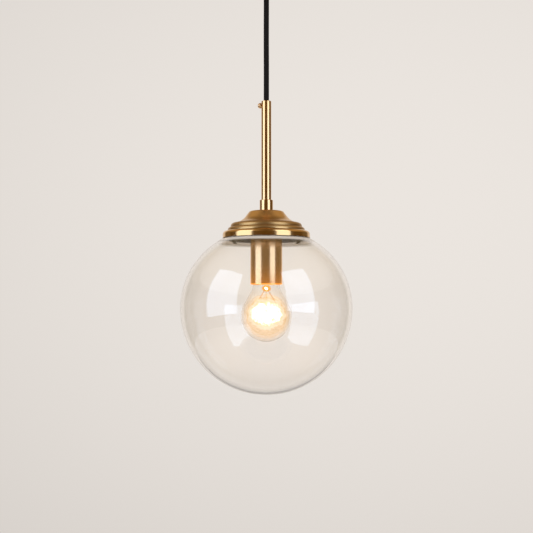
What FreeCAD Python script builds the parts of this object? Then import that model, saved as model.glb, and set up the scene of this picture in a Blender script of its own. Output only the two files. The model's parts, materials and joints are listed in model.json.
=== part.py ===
import FreeCAD, Part
import math
import os
import re

import Sketcher

# A pendant ceiling light: a ceiling fitting under a brass canopy, a textile cable held tight by the lamp's
# weight, and a brass stem, stepped cap and lampholder cup inside a clear glass globe with an E27 bulb.
# Millimetres, +Z up, origin in the middle of the ceiling bracket's upper face. +X is the right-hand side.

V = FreeCAD.Vector
SHEET = "sizes"

# Driving dimensions: alias, value, what it is.
SIZES = (
    ("cable_radius", 3.15, "round textile cable"),
    ("cable_drop", 175.0, "ceiling to the mouth of the stem"),
    ("core_radius", 0.9, "insulated core in the cable"),
    ("bracket_length", 100.0, "ceiling bracket, along X"),
    ("bracket_width", 25.0, "ceiling bracket, along Y"),
    ("bracket_thickness", 2.0, "bracket sheet, and its bent tab"),
    ("slot_margin", 8.0, "middle of a ceiling slot to the bracket's end"),
    ("slot_length", 12.0, "ceiling slot, end to end"),
    ("slot_radius", 2.25, "half the ceiling slot's width"),
    ("tab_length", 24.0, "bent tab, below the bracket sheet"),
    ("clamp_width", 24.0, "cord clamp, along Y"),
    ("clamp_height", 9.0, "cord clamp, along the cable"),
    ("clamp_back", 4.0, "nylon behind the cable in the clamp"),
    ("clamp_gap", 0.3, "clamp to tab, when tight"),
    ("clamp_screw_spacing", 17.0, "between the two clamp screws"),
    ("block_length", 16.0, "terminal block, along X"),
    ("block_height", 12.0, "terminal block, along Z"),
    ("block_start", 15.0, "cable axis to the terminal block"),
    ("pole_pitch", 8.6, "between poles of the terminal block"),
    ("pole_bore", 1.7, "radius of a pole's wire hole"),
    ("pole_screw_recess", 0.5, "terminal screws, inside the block's face"),
    ("pole_screw_gap", 0.1, "terminal screws to the cores they hold"),
    ("small_screw_radius", 1.5, "M3 shanks"),
    ("small_screw_fit", 0.05, "radial clearance of M3 shanks"),
    ("small_head_radius", 2.9, "M3 heads"),
    ("small_head_dome", 1.5, "rounded part of M3 heads"),
    ("small_head_height", 2.2, "M3 heads inside the fitting"),
    ("slot_width", 0.8, "driver slots"),
    ("slot_depth", 0.9, "driver slots"),
    ("canopy_radius", 60.0, "ceiling canopy"),
    ("canopy_height", 34.0, "ceiling canopy"),
    ("canopy_round", 12.0, "canopy's rounded shoulder"),
    ("canopy_wall", 1.0, "canopy sheet"),
    ("neck_length", 18.0, "canopy's cable neck, below the canopy"),
    ("nut_width", 14.0, "M10 nuts, across flats"),
    ("nut_height", 3.0, "M10 nuts"),
    ("thread_radius", 5.0, "M10 threads of stem and neck"),
    ("thread_rise", 7.0, "neck thread above the canopy's underside"),
    ("stem_radius", 5.8, "stem and neck tubes, outside"),
    ("stem_bore", 4.1, "stem and neck tubes, inside"),
    ("stem_length", 116.5, "visible stem"),
    ("edge_break", 0.5, "chamfers on turned brass"),
    ("grip_depth", 5.2, "cable grip screw, from the tube's mouth"),
    ("grip_head_radius", 3.15, "cable grip screw's round head"),
    ("grip_head_height", 4.3, "cable grip screw's round head"),
    ("grip_head_dome", 2.6, "rounded part of that head"),
    ("grip_slot_width", 1.1, "cable grip screw's driver slot"),
    ("grip_slot_depth", 3.5, "cable grip screw's driver slot"),
    ("grip_head_gap", 0.1, "under the grip screw's head, when tight"),
    ("grip_pad_tip", 0.05, "grip pad to cable"),
    ("grip_pad_length", 1.25, "nylon pad in front of the grip screw"),
    ("grip_pad_radius", 1.4, "nylon pad"),
    ("pivot_depth", 1.2, "cable's bend point, below the stem's mouth"),
    ("bush_gap", 0.1, "cable end to bush"),
    ("bush_wall", 0.6, "spherical cable bush"),
    ("tail_gap", 0.4, "bush to the cable's clamped tail"),
    ("tail_end", 2.0, "end of that tail, above the thread's foot"),
    ("collar_radius", 7.75, "stem collar"),
    ("collar_length", 13.0, "stem collar"),
    ("cap_wall", 1.0, "spun cap"),
    ("cap_top_radius", 18.0, "cap's flat top"),
    ("cap_edge_radius", 20.9, "below the rounded edge of the flat top"),
    ("cap_edge_depth", 1.9, "depth of that rounded edge"),
    ("flare_start_radius", 24.8, "where the cap's cone turns outwards"),
    ("flare_start_depth", 7.1, "depth of that place"),
    ("ridge_one_start", 37.5, "where the flare meets the first ridge"),
    ("ridge_one_depth", 13.9, "top of the first ridge"),
    ("ridge_one_radius", 41.7, "first ridge"),
    ("ridge_one_side", 18.1, "depth where the first ridge's roll ends"),
    ("ridge_one_round", 4.2, "first ridge's roll"),
    ("ridge_two_depth", 19.0, "top of the second ridge"),
    ("ridge_two_radius", 45.0, "second ridge"),
    ("ridge_two_side", 22.4, "depth where the second ridge's roll ends"),
    ("ridge_two_round", 3.4, "second ridge's roll"),
    ("rim_ledge", 1.8, "flat ledge between second ridge and rim band"),
    ("rim_depth", 23.4, "top of the rim band"),
    ("rim_radius", 51.0, "rim band"),
    ("rim_side", 27.4, "depth where the rim band's shoulder ends"),
    ("rim_round", 4.2, "rim band's shoulder"),
    ("rim_clearance", 0.3, "rim band's foot to the glass"),
    ("gasket_thickness", 1.2, "rubber ring between cap and globe"),
    ("gasket_overlap", 0.1, "gasket past each side of the globe's lip"),
    ("globe_radius", 100.0, "glass globe"),
    ("globe_shoulder", 8.4, "how far the upper arc's centre is off the axis"),
    ("globe_wall", 2.5, "glass"),
    ("lip_radius", 46.5, "globe's lip, outside"),
    ("lip_height", 4.6, "globe's lip, above its shoulder"),
    ("plate_gap", 0.3, "clip plate to cap"),
    ("plate_thickness", 1.5, "clip plate"),
    ("plate_hub_radius", 15.0, "clip plate's middle"),
    ("plate_arm_root", 2.0, "arm's start inside the middle"),
    ("plate_arm_reach", 37.0, "clip plate's arms"),
    ("plate_arm_width", 9.0, "clip plate's arms"),
    ("spacer_radius", 6.5, "spacer tube on the thread"),
    ("clip_sheet", 0.6, "spring clips"),
    ("clip_width", 8.0, "spring clips"),
    ("clip_start", 26.0, "inner end of a spring clip"),
    ("clip_bend", 40.0, "where a spring clip turns down"),
    ("clip_hook", 1.6, "how far a clip reaches under the globe's lip"),
    ("clip_tail_lean", 1.0, "how far that end leans in"),
    ("clip_tail", 2.0, "a clip's end below its hook"),
    ("clip_clearance", 0.3, "clips to glass"),
    ("rivet_place", 31.0, "rivets, from the axis"),
    ("rivet_radius", 1.5, "rivets"),
    ("rivet_head_radius", 2.55, "rivets' heads"),
    ("rivet_head", 1.0, "height of a rivet's head"),
    ("cup_radius", 18.65, "brass lampholder cup"),
    ("cup_wall", 0.8, "brass lampholder cup"),
    ("cup_length", 64.0, "brass lampholder cup"),
    ("cup_round", 2.0, "rounded upper edge of the cup"),
    ("washer_radius", 9.5, "washer inside the cup"),
    ("washer_thickness", 0.8, "washer inside the cup"),
    ("holder_gap", 0.4, "nut to lampholder, and lampholder to cup"),
    ("holder_boss_radius", 7.5, "lampholder's threaded boss"),
    ("holder_boss_height", 3.0, "lampholder's threaded boss"),
    ("holder_cone", 6.0, "height of the lampholder's cone"),
    ("holder_skirt", 17.0, "lampholder cap's skirt"),
    ("holder_wall", 2.0, "lampholder's insulating walls"),
    ("core_disc_depth", 4.7, "lampholder disc, below the cone's foot"),
    ("core_disc_height", 5.0, "lampholder disc"),
    ("contact_sheet", 0.5, "centre contact"),
    ("contact_width", 5.0, "centre contact"),
    ("contact_drop", 1.6, "centre contact's crank"),
    ("shell_wall", 0.4, "female E27 shell"),
    ("shell_fit", 0.35, "bulb thread to female shell"),
    ("shell_height", 27.0, "female E27 shell"),
    ("shroud_length", 30.0, "lampholder's lower sleeve"),
    ("shroud_step", 19.0, "where the sleeve opens out for the bulb's neck"),
    ("shroud_mouth", 16.3, "radius of the sleeve's wide part"),
    ("terminal_place", 9.5, "lampholder terminals, from the axis"),
    ("terminal_width", 5.0, "lampholder terminals"),
    ("terminal_screw_radius", 1.4, "lampholder terminals' screws"),
    ("core_run", 2.0, "straight core each side of the stem's end"),
    ("terminal_height", 3.4, "lampholder terminals"),
    ("contact_gap", 0.3, "bulb contact to centre contact"),
    ("bulb_radius", 29.5, "bulb's round end"),
    ("bulb_length", 105.0, "bulb, end to end"),
    ("bulb_glass", 0.8, "bulb glass"),
    ("bulb_tangent", 28.1, "degrees above the widest ring where the cone starts"),
    ("bulb_waist_radius", 18.0, "foot of the bulb's cone"),
    ("bulb_waist_height", 28.6, "foot of the cone, above the bulb's centre"),
    ("bulb_waist_round", 20.2, "hollow between cone and neck"),
    ("bulb_neck_radius", 15.6, "top of that hollow"),
    ("bulb_neck_height", 36.6, "top of that hollow, above the bulb's centre"),
    ("bulb_neck_slope", 5.0, "degrees, glass at the top of that hollow"),
    ("bulb_seal_step", 1.0, "chamfer where the neck enters the cap"),
    ("bulb_seal_length", 2.0, "glass inside the cap"),
    ("bulb_seal_radius", 12.6, "bulb's neck where the cap grips it"),
    ("bulb_cap_length", 27.0, "E27 cap with its contact"),
    ("cap_skirt_radius", 13.0, "smooth skirt of the E27 cap"),
    ("cap_skirt_chamfer", 0.6, "between skirt and thread"),
    ("cap_seam", 0.3, "cap's edge above the glass inside it"),
    ("cap_cone", 1.6, "cone between thread and insulator"),
    ("cap_lap", 1.0, "insulator inside the cap"),
    ("thread_rest", 0.2, "thread's foot, outside its root and from its edges, in pitches too"),
    ("thread_crest", 13.1, "E27 thread"),
    ("thread_root", 12.2, "E27 thread"),
    ("thread_pitch", 3.629, "E27 thread"),
    ("thread_turns", 4, "rings shown on the bulb's cap"),
    ("bulb_cap_wall", 0.3, "E27 cap"),
    ("button_radius", 4.8, "bulb's centre contact"),
    ("button_face", 2.9, "flat middle of that contact"),
    ("button_height", 1.8, "bulb's centre contact"),
    ("insulator_radius", 11.0, "bulb's black glass insulator"),
    ("insulator_height", 5.0, "bulb's black glass insulator"),
    ("press_height", 32.6, "bulb's glass press, above the bulb's centre"),
    ("press_radius", 3.4, "bulb's glass press"),
    ("mount_bead", 1.45, "glass bead at the rod's foot"),
    ("flare_wall", 1.0, "bulb's inner glass tube"),
    ("flare_radius", 2.8, "bulb's inner glass tube"),
    ("flare_height", 5.0, "its mouth, where it opens to the neck"),
    ("flare_fit", 0.1, "its mouth to the neck"),
    ("mount_rod", 0.9, "glass rod below the press"),
    ("rod_foot_height", 17.0, "foot of that rod, above the bulb's centre"),
    ("lead_radius", 0.35, "lead-in wires"),
    ("lead_start", 2.0, "lead-in wires in the press, from the axis"),
    ("lead_bend", 10.6, "where they turn down, from the axis"),
    ("lead_bend_height", 8.0, "that turn, above the filament's ends"),
    ("wire_bend", 3.0, "bend radius of lead-in wires"),
    ("lead_spread", 12.5, "filament's ends, from the axis"),
    ("filament_height", 8.0, "filament's ends, above the bulb's centre"),
    ("filament_sag", 3.5, "filament's middle, below its ends"),
    ("filament_radius", 0.55, "filament coil"),
    ("support_radius", 0.2, "filament supports"),
    ("support_foot_share", 0.2, "their feet in the rod, as a share of their ends' spread"),
    ("support_bend_share", 0.6, "where they bend, as a share of that spread"),
)

# Places worked out from the sizes.
PLACES = {
    "stem_mouth": "-cable_drop",
    "cap_top": "stem_mouth - stem_length - collar_length",
    "lip_bore": "lip_radius - globe_wall",
    "shoulder_radius": "globe_radius - globe_shoulder",
    "lip_foot": "sqrt(shoulder_radius ^ 2 - (lip_radius - globe_shoulder) ^ 2)",
    "lip_foot_inside": "sqrt((shoulder_radius - globe_wall) ^ 2 - (lip_bore - globe_shoulder) ^ 2)",
    "lip_top": "lip_foot + lip_height",
    "globe_seat": "rim_depth + cap_wall + gasket_thickness",
    "globe_centre": "cap_top - globe_seat - lip_top",
    "glass_at_rim": "sqrt(shoulder_radius ^ 2 - (rim_radius - cap_wall - globe_shoulder) ^ 2)",
    "rim_foot": "glass_at_rim - lip_top - globe_seat + rim_clearance",
    "ridge_two_start": "ridge_one_radius",
    "rim_start": "ridge_two_radius + rim_ledge",
    "slot_place": "bracket_length / 2 - slot_margin",
    "plate_top": "-(ridge_two_depth + cap_wall + plate_gap)",
    "plate_bottom": "plate_top - plate_thickness",
    "cup_top": "cap_top + plate_bottom",
    "cup_bore": "cup_radius - cup_wall",
    "washer_top": "-cup_wall",
    "nut_top": "washer_top - washer_thickness",
    "holder_top": "nut_top - nut_height - holder_gap",
    "boss_foot": "holder_top - holder_boss_height",
    "cone_foot": "boss_foot - holder_cone",
    "skirt_foot": "cone_foot - holder_skirt",
    "holder_radius": "cup_bore - holder_gap",
    "skirt_bore": "holder_radius - holder_wall",
    "thread_end": "boss_foot - holder_wall",
    "disc_top": "cone_foot - core_disc_depth",
    "disc_bottom": "disc_top - core_disc_height",
    "contact_foot": "disc_bottom - contact_drop",
    "bulb_tip": "cup_top + contact_foot - contact_gap",
    "shell_bore": "thread_crest + shell_fit",
    "bulb_centre": "bulb_radius - bulb_length",
    "cap_rim": "-bulb_cap_length",
    "cone_start_radius": "bulb_radius * cos(bulb_tangent)",
    "cone_start_height": "bulb_radius * sin(bulb_tangent)",
    "bulb_bore": "bulb_radius - bulb_glass",
    "pivot": "stem_mouth - pivot_depth",
    "bush_radius": "cable_radius + bush_gap + bush_wall",
    "tail_top": "-(bush_radius + tail_gap)",
    "tail_foot": "cup_top + thread_end + tail_end - pivot",
    "cable_top": "-(bracket_thickness + block_height)",
    "clamp_middle": "cable_top - clamp_height / 2 - bracket_thickness",
    "neck_mouth": "-(canopy_height + neck_length)",
    "grip_screw_start": "cable_radius + grip_pad_tip + grip_pad_length",
    "grip_head_foot": "stem_radius + grip_head_gap",
    "screw_hole": "small_screw_radius + small_screw_fit",
    "core_place": "cable_radius / 2",
    "wire_height": "-(bracket_thickness + block_height / 2)",
}

doc = FreeCAD.newDocument("pendant_light")
sheet = doc.addObject("Spreadsheet::Sheet", SHEET)
for row, (alias, size, note) in enumerate(SIZES, start=1):
    sheet.set(f"A{row}", str(size))
    sheet.setAlias(f"A{row}", alias)
    sheet.set(f"B{row}", note)
doc.recompute()

ALIASES = {alias for alias, size, note in SIZES}
WORD = re.compile(r"[a-z_][a-z_0-9]*")
nodes = []


def formula(text):
    """The expression with each place worked out and each size naming its cell."""

    def known(match):
        word = match.group(0)
        if word in PLACES:
            return f"({formula(PLACES[word])})"
        if word in ALIASES:
            return f"{SHEET}.{word}"
        return word

    return WORD.sub(known, str(text))


def number(text):
    """What an expression comes to now, in millimetres."""
    return float(sheet.evalExpression(formula(text).replace(f"{SHEET}.", "")))


def point(x, y, z):
    return V(number(x), number(y), number(z))


# --- sketches ---------------------------------------------------------------------------------------------


def new_body(label):
    body = doc.addObject("PartDesign::Body", label)
    body.Label = label
    return body


def new_sketch(body, plane, offset="0"):
    """A sketch on one of the body's origin planes, moved along the plane's normal."""
    sketch = body.newObject("Sketcher::SketchObject", body.Name + "_sketch")
    support = next(f for f in body.Origin.OriginFeatures if f.Role == plane)
    sketch.AttachmentSupport = (support, [""])
    sketch.MapMode = "FlatFace"
    sketch.setExpression(".AttachmentOffset.Base.z", formula(offset))
    return sketch


def pin(sketch, geometry, position, corner):
    """Holds a point of the sketch at two expressions from the sketch's origin."""
    for kind, axis, text in (("DistanceX", -2, corner[0]), ("DistanceY", -1, corner[1])):
        if text == "0":
            sketch.addConstraint(Sketcher.Constraint("PointOnObject", geometry, position, axis))
            continue
        index = sketch.addConstraint(Sketcher.Constraint(kind, -1, 1, geometry, position, number(text)))
        sketch.setExpression(f"Constraints[{index}]", formula(text))


def set_radius(sketch, geometry, text):
    index = sketch.addConstraint(Sketcher.Constraint("Radius", geometry, number(text)))
    sketch.setExpression(f"Constraints[{index}]", formula(text))


def add_arc(sketch, start, end, turn, radius_text):
    """An arc of less than half a turn. Returns its geometry and the positions of its start and end."""
    radius = number(radius_text)
    chord = end - start
    rise = math.sqrt(max(radius ** 2 - (chord.Length / 2) ** 2, 0.0))
    left = V(-chord.y, chord.x, 0).normalize()
    centre = (start + end) * 0.5 + left * (rise if turn == "left" else -rise)
    first, last = (start, end) if turn == "left" else (end, start)
    angles = [math.atan2(p.y - centre.y, p.x - centre.x) for p in (first, last)]
    if angles[1] <= angles[0]:
        angles[1] += 2 * math.pi
    arc = Part.ArcOfCircle(Part.Circle(centre, V(0, 0, 1), radius), *angles)
    geometry = sketch.addGeometry(arc)
    set_radius(sketch, geometry, radius_text)
    return (geometry, 1, 2) if turn == "left" else (geometry, 2, 1)


def add_outline(sketch, corners):
    """A closed outline. A corner is (x, y), or (x, y, turn, radius) where an arc leaves it."""
    points = [V(number(corner[0]), number(corner[1]), 0) for corner in corners]
    runs = []
    for i, corner in enumerate(corners):
        start, end = points[i], points[(i + 1) % len(points)]
        if len(corner) == 4:
            runs.append(add_arc(sketch, start, end, corner[2], corner[3]))
        else:
            runs.append((sketch.addGeometry(Part.LineSegment(start, end)), 1, 2))
    for i, corner in enumerate(corners):
        geometry, first, last = runs[i]
        before, unused, before_last = runs[i - 1]
        sketch.addConstraint(Sketcher.Constraint("Coincident", before, before_last, geometry, first))
        pin(sketch, geometry, first, corner)


def add_circle(sketch, x, y, radius):
    centre = V(number(x), number(y), 0)
    geometry = sketch.addGeometry(Part.Circle(centre, V(0, 0, 1), number(radius)))
    pin(sketch, geometry, 3, (x, y))
    set_radius(sketch, geometry, radius)


# --- features ---------------------------------------------------------------------------------------------


def rectangle(x_low, y_low, x_high, y_high):
    return [(x_low, y_low), (x_high, y_low), (x_high, y_high), (x_low, y_high)]


def place(piece, x="0", y="0", z="0", axis=V(0, 0, 1), turn=0.0):
    piece.Placement = FreeCAD.Placement(V(0, 0, 0), FreeCAD.Rotation(axis, turn))
    for name, text in (("x", x), ("y", y), ("z", z)):
        piece.setExpression(f".Placement.Base.{name}", formula(text))
    return piece


def keep(piece):
    """Marks a finished sub-part, whose label names its file."""
    nodes.append(piece)
    return piece


def turned(label, corners, z="0"):
    """A body turned about its Z axis from an outline of (radius, height)."""
    body = new_body(label)
    sketch = new_sketch(body, "XZ_Plane")
    add_outline(sketch, corners)
    turn = body.newObject("PartDesign::Revolution", label + "_turned")
    turn.Profile = sketch
    turn.ReferenceAxis = (sketch, ["V_Axis"])
    turn.Angle = 360.0
    return place(body, z=z)


def extrude(body, kind, plane, draw, length, offset="0", centred=False, back=False):
    """Adds a Pad or a Pocket whose sketch the function draw fills."""
    sketch = new_sketch(body, plane, offset)
    draw(sketch)
    feature = body.newObject("PartDesign::" + kind, body.Name + "_" + kind.lower())
    feature.Profile = sketch
    feature.setExpression("Length", formula(length))
    feature.Midplane = centred
    feature.Reversed = back
    return feature


def pocket(body, plane, draw, length, offset="0", centred=False, back=False):
    """A Pocket that must take something away."""
    doc.recompute()
    before = body.Shape.Volume
    feature = extrude(body, "Pocket", plane, draw, length, offset, centred, back)
    doc.recompute()
    if body.Shape.Volume >= before:
        raise ValueError(f"a pocket in {body.Label} cuts nothing")
    return feature


def polar(body, features, count):
    """Repeats features about the body's Z axis."""
    pattern = body.newObject("PartDesign::PolarPattern", body.Name + "_pattern")
    pattern.Originals = features
    axis = next(f for f in body.Origin.OriginFeatures if f.Role == "Z_Axis")
    pattern.Axis = (axis, [""])
    pattern.Angle = 360.0
    pattern.Occurrences = count
    body.Tip = pattern
    return pattern


def group(label, pieces):
    """Identical fasteners in one node, as separate solids."""
    compound = doc.addObject("Part::Compound", label)
    compound.Label = label
    compound.Links = pieces
    return keep(compound)


def slotted_screw(label, shank_length, head="small_head", slot="slot"):
    """An M3 screw with a round slotted head. The shank runs down from the origin, the head up."""
    body = turned(label, [
        ("0", f"-({shank_length})"),
        ("small_screw_radius", f"-({shank_length})"),
        ("small_screw_radius", "0"),
        (f"{head}_radius", "0"),
        (f"{head}_radius", f"{head}_height - {head}_dome", "left",
         f"({head}_radius ^ 2 + {head}_dome ^ 2) / (2 * {head}_dome)"),
        ("0", f"{head}_height"),
    ])
    cut = rectangle(f"-{slot}_width / 2", f"{head}_height - {slot}_depth", f"{slot}_width / 2",
                    f"{head}_height + 1")
    pocket(body, "XZ_Plane", lambda s: add_outline(s, cut), f"{head}_radius * 2 + 1", centred=True)
    return body


def hex_nut(label, z):
    """An M10 nut whose upper face is at the given height."""
    body = new_body(label)
    corner = "nut_width / 2 / cos(30)"
    ring = [(f"{corner} * cos({60 * i})", f"{corner} * sin({60 * i})") for i in range(6)]
    ring[0] = (corner, "0")
    ring[3] = (f"-{corner}", "0")

    def draw(sketch):
        add_outline(sketch, ring)
        add_circle(sketch, "0", "0", "thread_radius")

    extrude(body, "Pad", "XY_Plane", draw, "nut_height", back=True)
    return keep(place(body, z=z))


def rounded_path(corners, radius):
    """Straight runs joined by tangent arcs through the list of points."""
    edges = []
    start = corners[0]
    for before, corner, after in zip(corners, corners[1:], corners[2:]):
        back = (before - corner).normalize()
        ahead = (after - corner).normalize()
        half_turn = (math.pi - back.getAngle(ahead)) / 2
        if half_turn < 1e-4:
            continue
        cut = radius * math.tan(half_turn)
        first, last = corner + back * cut, corner + ahead * cut
        inward = (back + ahead).normalize()
        middle = corner + inward * (radius / math.cos(half_turn) - radius)
        edges.append(Part.LineSegment(start, first).toShape())
        edges.append(Part.Arc(first, middle, last).toShape())
        start = last
    edges.append(Part.LineSegment(start, corners[-1]).toShape())
    return Part.Wire(edges)


def wire_shape(corners, radius, bend):
    """A round wire along straight runs and tangent arcs."""
    path = rounded_path(corners, bend)
    heading = (corners[1] - corners[0]).normalize()
    section = Part.Wire([Part.Circle(corners[0], heading, radius).toShape()])
    return path.makePipeShell([section], True, False)


def wires(label, shapes, z="0"):
    """A node of bare wires or cores, each a solid of its own."""
    feature = doc.addObject("Part::Feature", label)
    feature.Label = label
    feature.Shape = Part.makeCompound(shapes)
    feature.Placement = FreeCAD.Placement(point("0", "0", z), FreeCAD.Rotation())
    return keep(feature)


# --- ceiling fitting --------------------------------------------------------------------------------------


def ceiling_bracket():
    """Steel strip against the ceiling, slotted for two screws, with a bent tab for the cord clamp."""
    body = new_body("ceiling_bracket")
    strip = rectangle("-bracket_length / 2", "-bracket_width / 2", "bracket_length / 2", "bracket_width / 2")
    extrude(body, "Pad", "XY_Plane", lambda s: add_outline(s, strip), "bracket_thickness", back=True)
    tab = rectangle("-bracket_width / 2", "-(bracket_thickness + tab_length)",
                    "bracket_width / 2", "-bracket_thickness / 2")
    extrude(body, "Pad", "YZ_Plane", lambda s: add_outline(s, tab), "bracket_thickness",
            offset="cable_radius")

    def slots(sketch):
        for side in ("-", ""):
            # each round end is drawn a hair wider than a half circle, whose centre a chord can't place
            middle = f"{side}slot_place"
            reach = "(slot_length / 2 - slot_radius)"
            arc = ("left", "slot_radius * 1.0001")
            add_outline(sketch, [
                (f"{middle} - {reach}", "-slot_radius"),
                (f"{middle} + {reach}", "-slot_radius", *arc),
                (f"{middle} + {reach}", "slot_radius"),
                (f"{middle} - {reach}", "slot_radius", *arc),
            ])

    pocket(body, "XY_Plane", slots, "bracket_thickness * 2", centred=True)

    def screw_holes(sketch):
        for side in ("-", ""):
            add_circle(sketch, f"{side}clamp_screw_spacing / 2", "clamp_middle", "screw_hole")

    pocket(body, "YZ_Plane", screw_holes, "bracket_thickness * 2",
           offset="cable_radius + bracket_thickness / 2", centred=True)
    keep(body)


def cord_clamp():
    """Nylon bridge that presses the cable against the tab."""
    body = new_body("cord_clamp")
    back = "-(cable_radius + clamp_back)"
    front = "cable_radius - clamp_gap"
    section = rectangle(back, "-clamp_width / 2", front, "clamp_width / 2")
    extrude(body, "Pad", "XY_Plane", lambda s: add_outline(s, section), "clamp_height", centred=True)
    pocket(body, "XY_Plane", lambda s: add_circle(s, "0", "0", "cable_radius"), "clamp_height + 1",
           centred=True)

    def screw_holes(sketch):
        for side in ("-", ""):
            add_circle(sketch, f"{side}clamp_screw_spacing / 2", "0", "screw_hole")

    pocket(body, "YZ_Plane", screw_holes, "cable_radius * 4 + clamp_back * 2", centred=True)
    keep(place(body, z="clamp_middle"))
    screws = []
    for i, side in enumerate(("-", ""), start=1):
        screw = slotted_screw(f"clamp_screw_{i}", "cable_radius * 2 + clamp_back + bracket_thickness")
        screws.append(place(screw, back, f"{side}clamp_screw_spacing / 2", "clamp_middle", V(0, 1, 0), -90.0))
    group("clamp_screws", screws)


def terminal_block():
    """Three-pole connector on the underside of the bracket, with its pinching screws."""
    body = new_body("terminal_block")
    poles = ("-pole_pitch", "0", "pole_pitch")
    half_width = f"pole_pitch * {len(poles)} / 2"
    section = rectangle("-(block_start + block_length)", f"-{half_width}", "-block_start", half_width)
    extrude(body, "Pad", "XY_Plane", lambda s: add_outline(s, section), "block_height", back=True)

    def wire_holes(sketch):
        for y in poles:
            add_circle(sketch, y, "-block_height / 2", "pole_bore")

    pocket(body, "YZ_Plane", wire_holes, "block_length + 2", offset="-(block_start + block_length / 2)",
           centred=True)

    def screw_holes(sketch):
        for y in poles:
            add_circle(sketch, "-(block_start + block_length / 4)", y, "screw_hole")

    pocket(body, "XY_Plane", screw_holes, "block_height / 2", offset="-block_height", back=True)
    keep(place(body, z="-bracket_thickness"))
    tip = "-(block_height / 2 + core_radius + pole_screw_gap)"
    screws = []
    for i, y in enumerate(poles, start=1):
        screw = turned(f"terminal_screw_{i}", [
            ("0", "-(block_height - pole_screw_recess)"),
            ("small_screw_radius", "-(block_height - pole_screw_recess)"),
            ("small_screw_radius", tip),
            ("0", tip),
        ])
        screws.append(place(screw, "-(block_start + block_length / 4)", y, "-bracket_thickness"))
    group("terminal_screws", screws)


def mains_cores():
    """The cable's three cores, fanned out from its upper end into the terminal block."""
    shapes = []
    for pole in (-1, 0, 1):
        side = number("core_place") * pole
        bow = math.sqrt(number("core_place") ** 2 - side ** 2)
        pole_y = number("pole_pitch") * pole
        shapes.append(wire_shape([
            V(-bow, side, number("cable_top")),
            V(-bow, side, number("wire_height")),
            V(-number("block_start - cable_radius"), pole_y, number("wire_height")),
            V(-number("block_start + block_length / 2"), pole_y, number("wire_height")),
        ], number("core_radius"), number("core_radius * 2")))
    wires("mains_cores", shapes)


def canopy():
    """Spun brass canopy, its cable neck and the nut that joins them."""
    floor = "-canopy_height"
    foot = "canopy_round - canopy_height"
    keep(turned("canopy", [
        ("thread_radius", floor),
        ("canopy_radius - canopy_round", floor, "left", "canopy_round"),
        ("canopy_radius", foot),
        ("canopy_radius", "0"),
        ("canopy_radius - canopy_wall", "0"),
        ("canopy_radius - canopy_wall", foot, "right", "canopy_round - canopy_wall"),
        ("canopy_radius - canopy_round", f"{floor} + canopy_wall"),
        ("thread_radius", f"{floor} + canopy_wall"),
    ]))
    neck = turned("canopy_neck", [
        ("stem_bore", "0"),
        ("stem_radius - edge_break", "0"),
        ("stem_radius", "edge_break"),
        ("stem_radius", "neck_length"),
        ("thread_radius", "neck_length"),
        ("thread_radius", "neck_length + thread_rise"),
        ("stem_bore", "neck_length + thread_rise"),
    ], "neck_mouth")
    pocket(neck, "YZ_Plane", lambda s: add_circle(s, "0", "grip_depth", "screw_hole"), "stem_radius + 1")
    keep(neck)
    hex_nut("canopy_nut", "canopy_wall + nut_height - canopy_height")
    cable_grip("canopy_grip", "neck_mouth + grip_depth")


def cable_grip(prefix, z):
    """The slotted screw in the side of a tube, and the nylon pad that it drives against the cable."""
    pad = turned(prefix + "_pad", [
        ("0", "0"),
        ("grip_pad_radius", "0"),
        ("grip_pad_radius", "grip_pad_length"),
        ("0", "grip_pad_length"),
    ])
    keep(place(pad, "-(cable_radius + grip_pad_tip)", "0", z, V(0, 1, 0), -90.0))
    screw = slotted_screw(prefix + "_screw", "grip_head_foot - grip_screw_start", "grip_head", "grip_slot")
    keep(place(screw, "-grip_head_foot", "0", z, V(0, 1, 0), -90.0))


# --- cable and stem ---------------------------------------------------------------------------------------


def cable():
    """The taut cable, the swivelling bush at its lower end and the tail held in the stem."""
    keep(turned("cable", [
        ("0", "-cable_radius", "left", "cable_radius"),
        ("cable_radius", "0"),
        ("cable_radius", "cable_top - pivot"),
        ("0", "cable_top - pivot"),
    ], "pivot"))
    hollow = "cable_radius + bush_gap"
    keep(turned("cable_bush", [
        ("0", "-bush_radius", "left", "bush_radius"),
        ("bush_radius", "0"),
        (hollow, "0", "right", hollow),
        ("0", f"-({hollow})"),
    ], "pivot"))
    keep(turned("cable_tail", [
        ("0", "tail_foot"),
        ("cable_radius", "tail_foot"),
        ("cable_radius", "tail_top"),
        ("0", "tail_top"),
    ], "pivot"))


def stem():
    """Brass stem tube with its threaded lower end, and the collar on the cap."""
    shoulder = "-(stem_length + collar_length)"
    foot = f"{shoulder} + plate_bottom + thread_end"
    tube = turned("stem_tube", [
        ("stem_bore", foot),
        ("thread_radius", foot),
        ("thread_radius", shoulder),
        ("stem_radius", shoulder),
        ("stem_radius", "-edge_break"),
        ("stem_radius - edge_break", "0"),
        ("stem_bore + edge_break / 2", "0"),
        ("stem_bore", "-edge_break / 2"),
    ], "stem_mouth")
    pocket(tube, "YZ_Plane", lambda s: add_circle(s, "0", "-grip_depth", "screw_hole"), "stem_radius + 1")
    keep(tube)
    cable_grip("grip", "stem_mouth - grip_depth")
    keep(turned("stem_collar", [
        ("stem_radius", "0"),
        ("collar_radius", "0"),
        ("collar_radius", "collar_length - edge_break"),
        ("collar_radius - edge_break", "collar_length"),
        ("stem_radius", "collar_length"),
    ], "cap_top"))


# --- cap and globe ----------------------------------------------------------------------------------------


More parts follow.
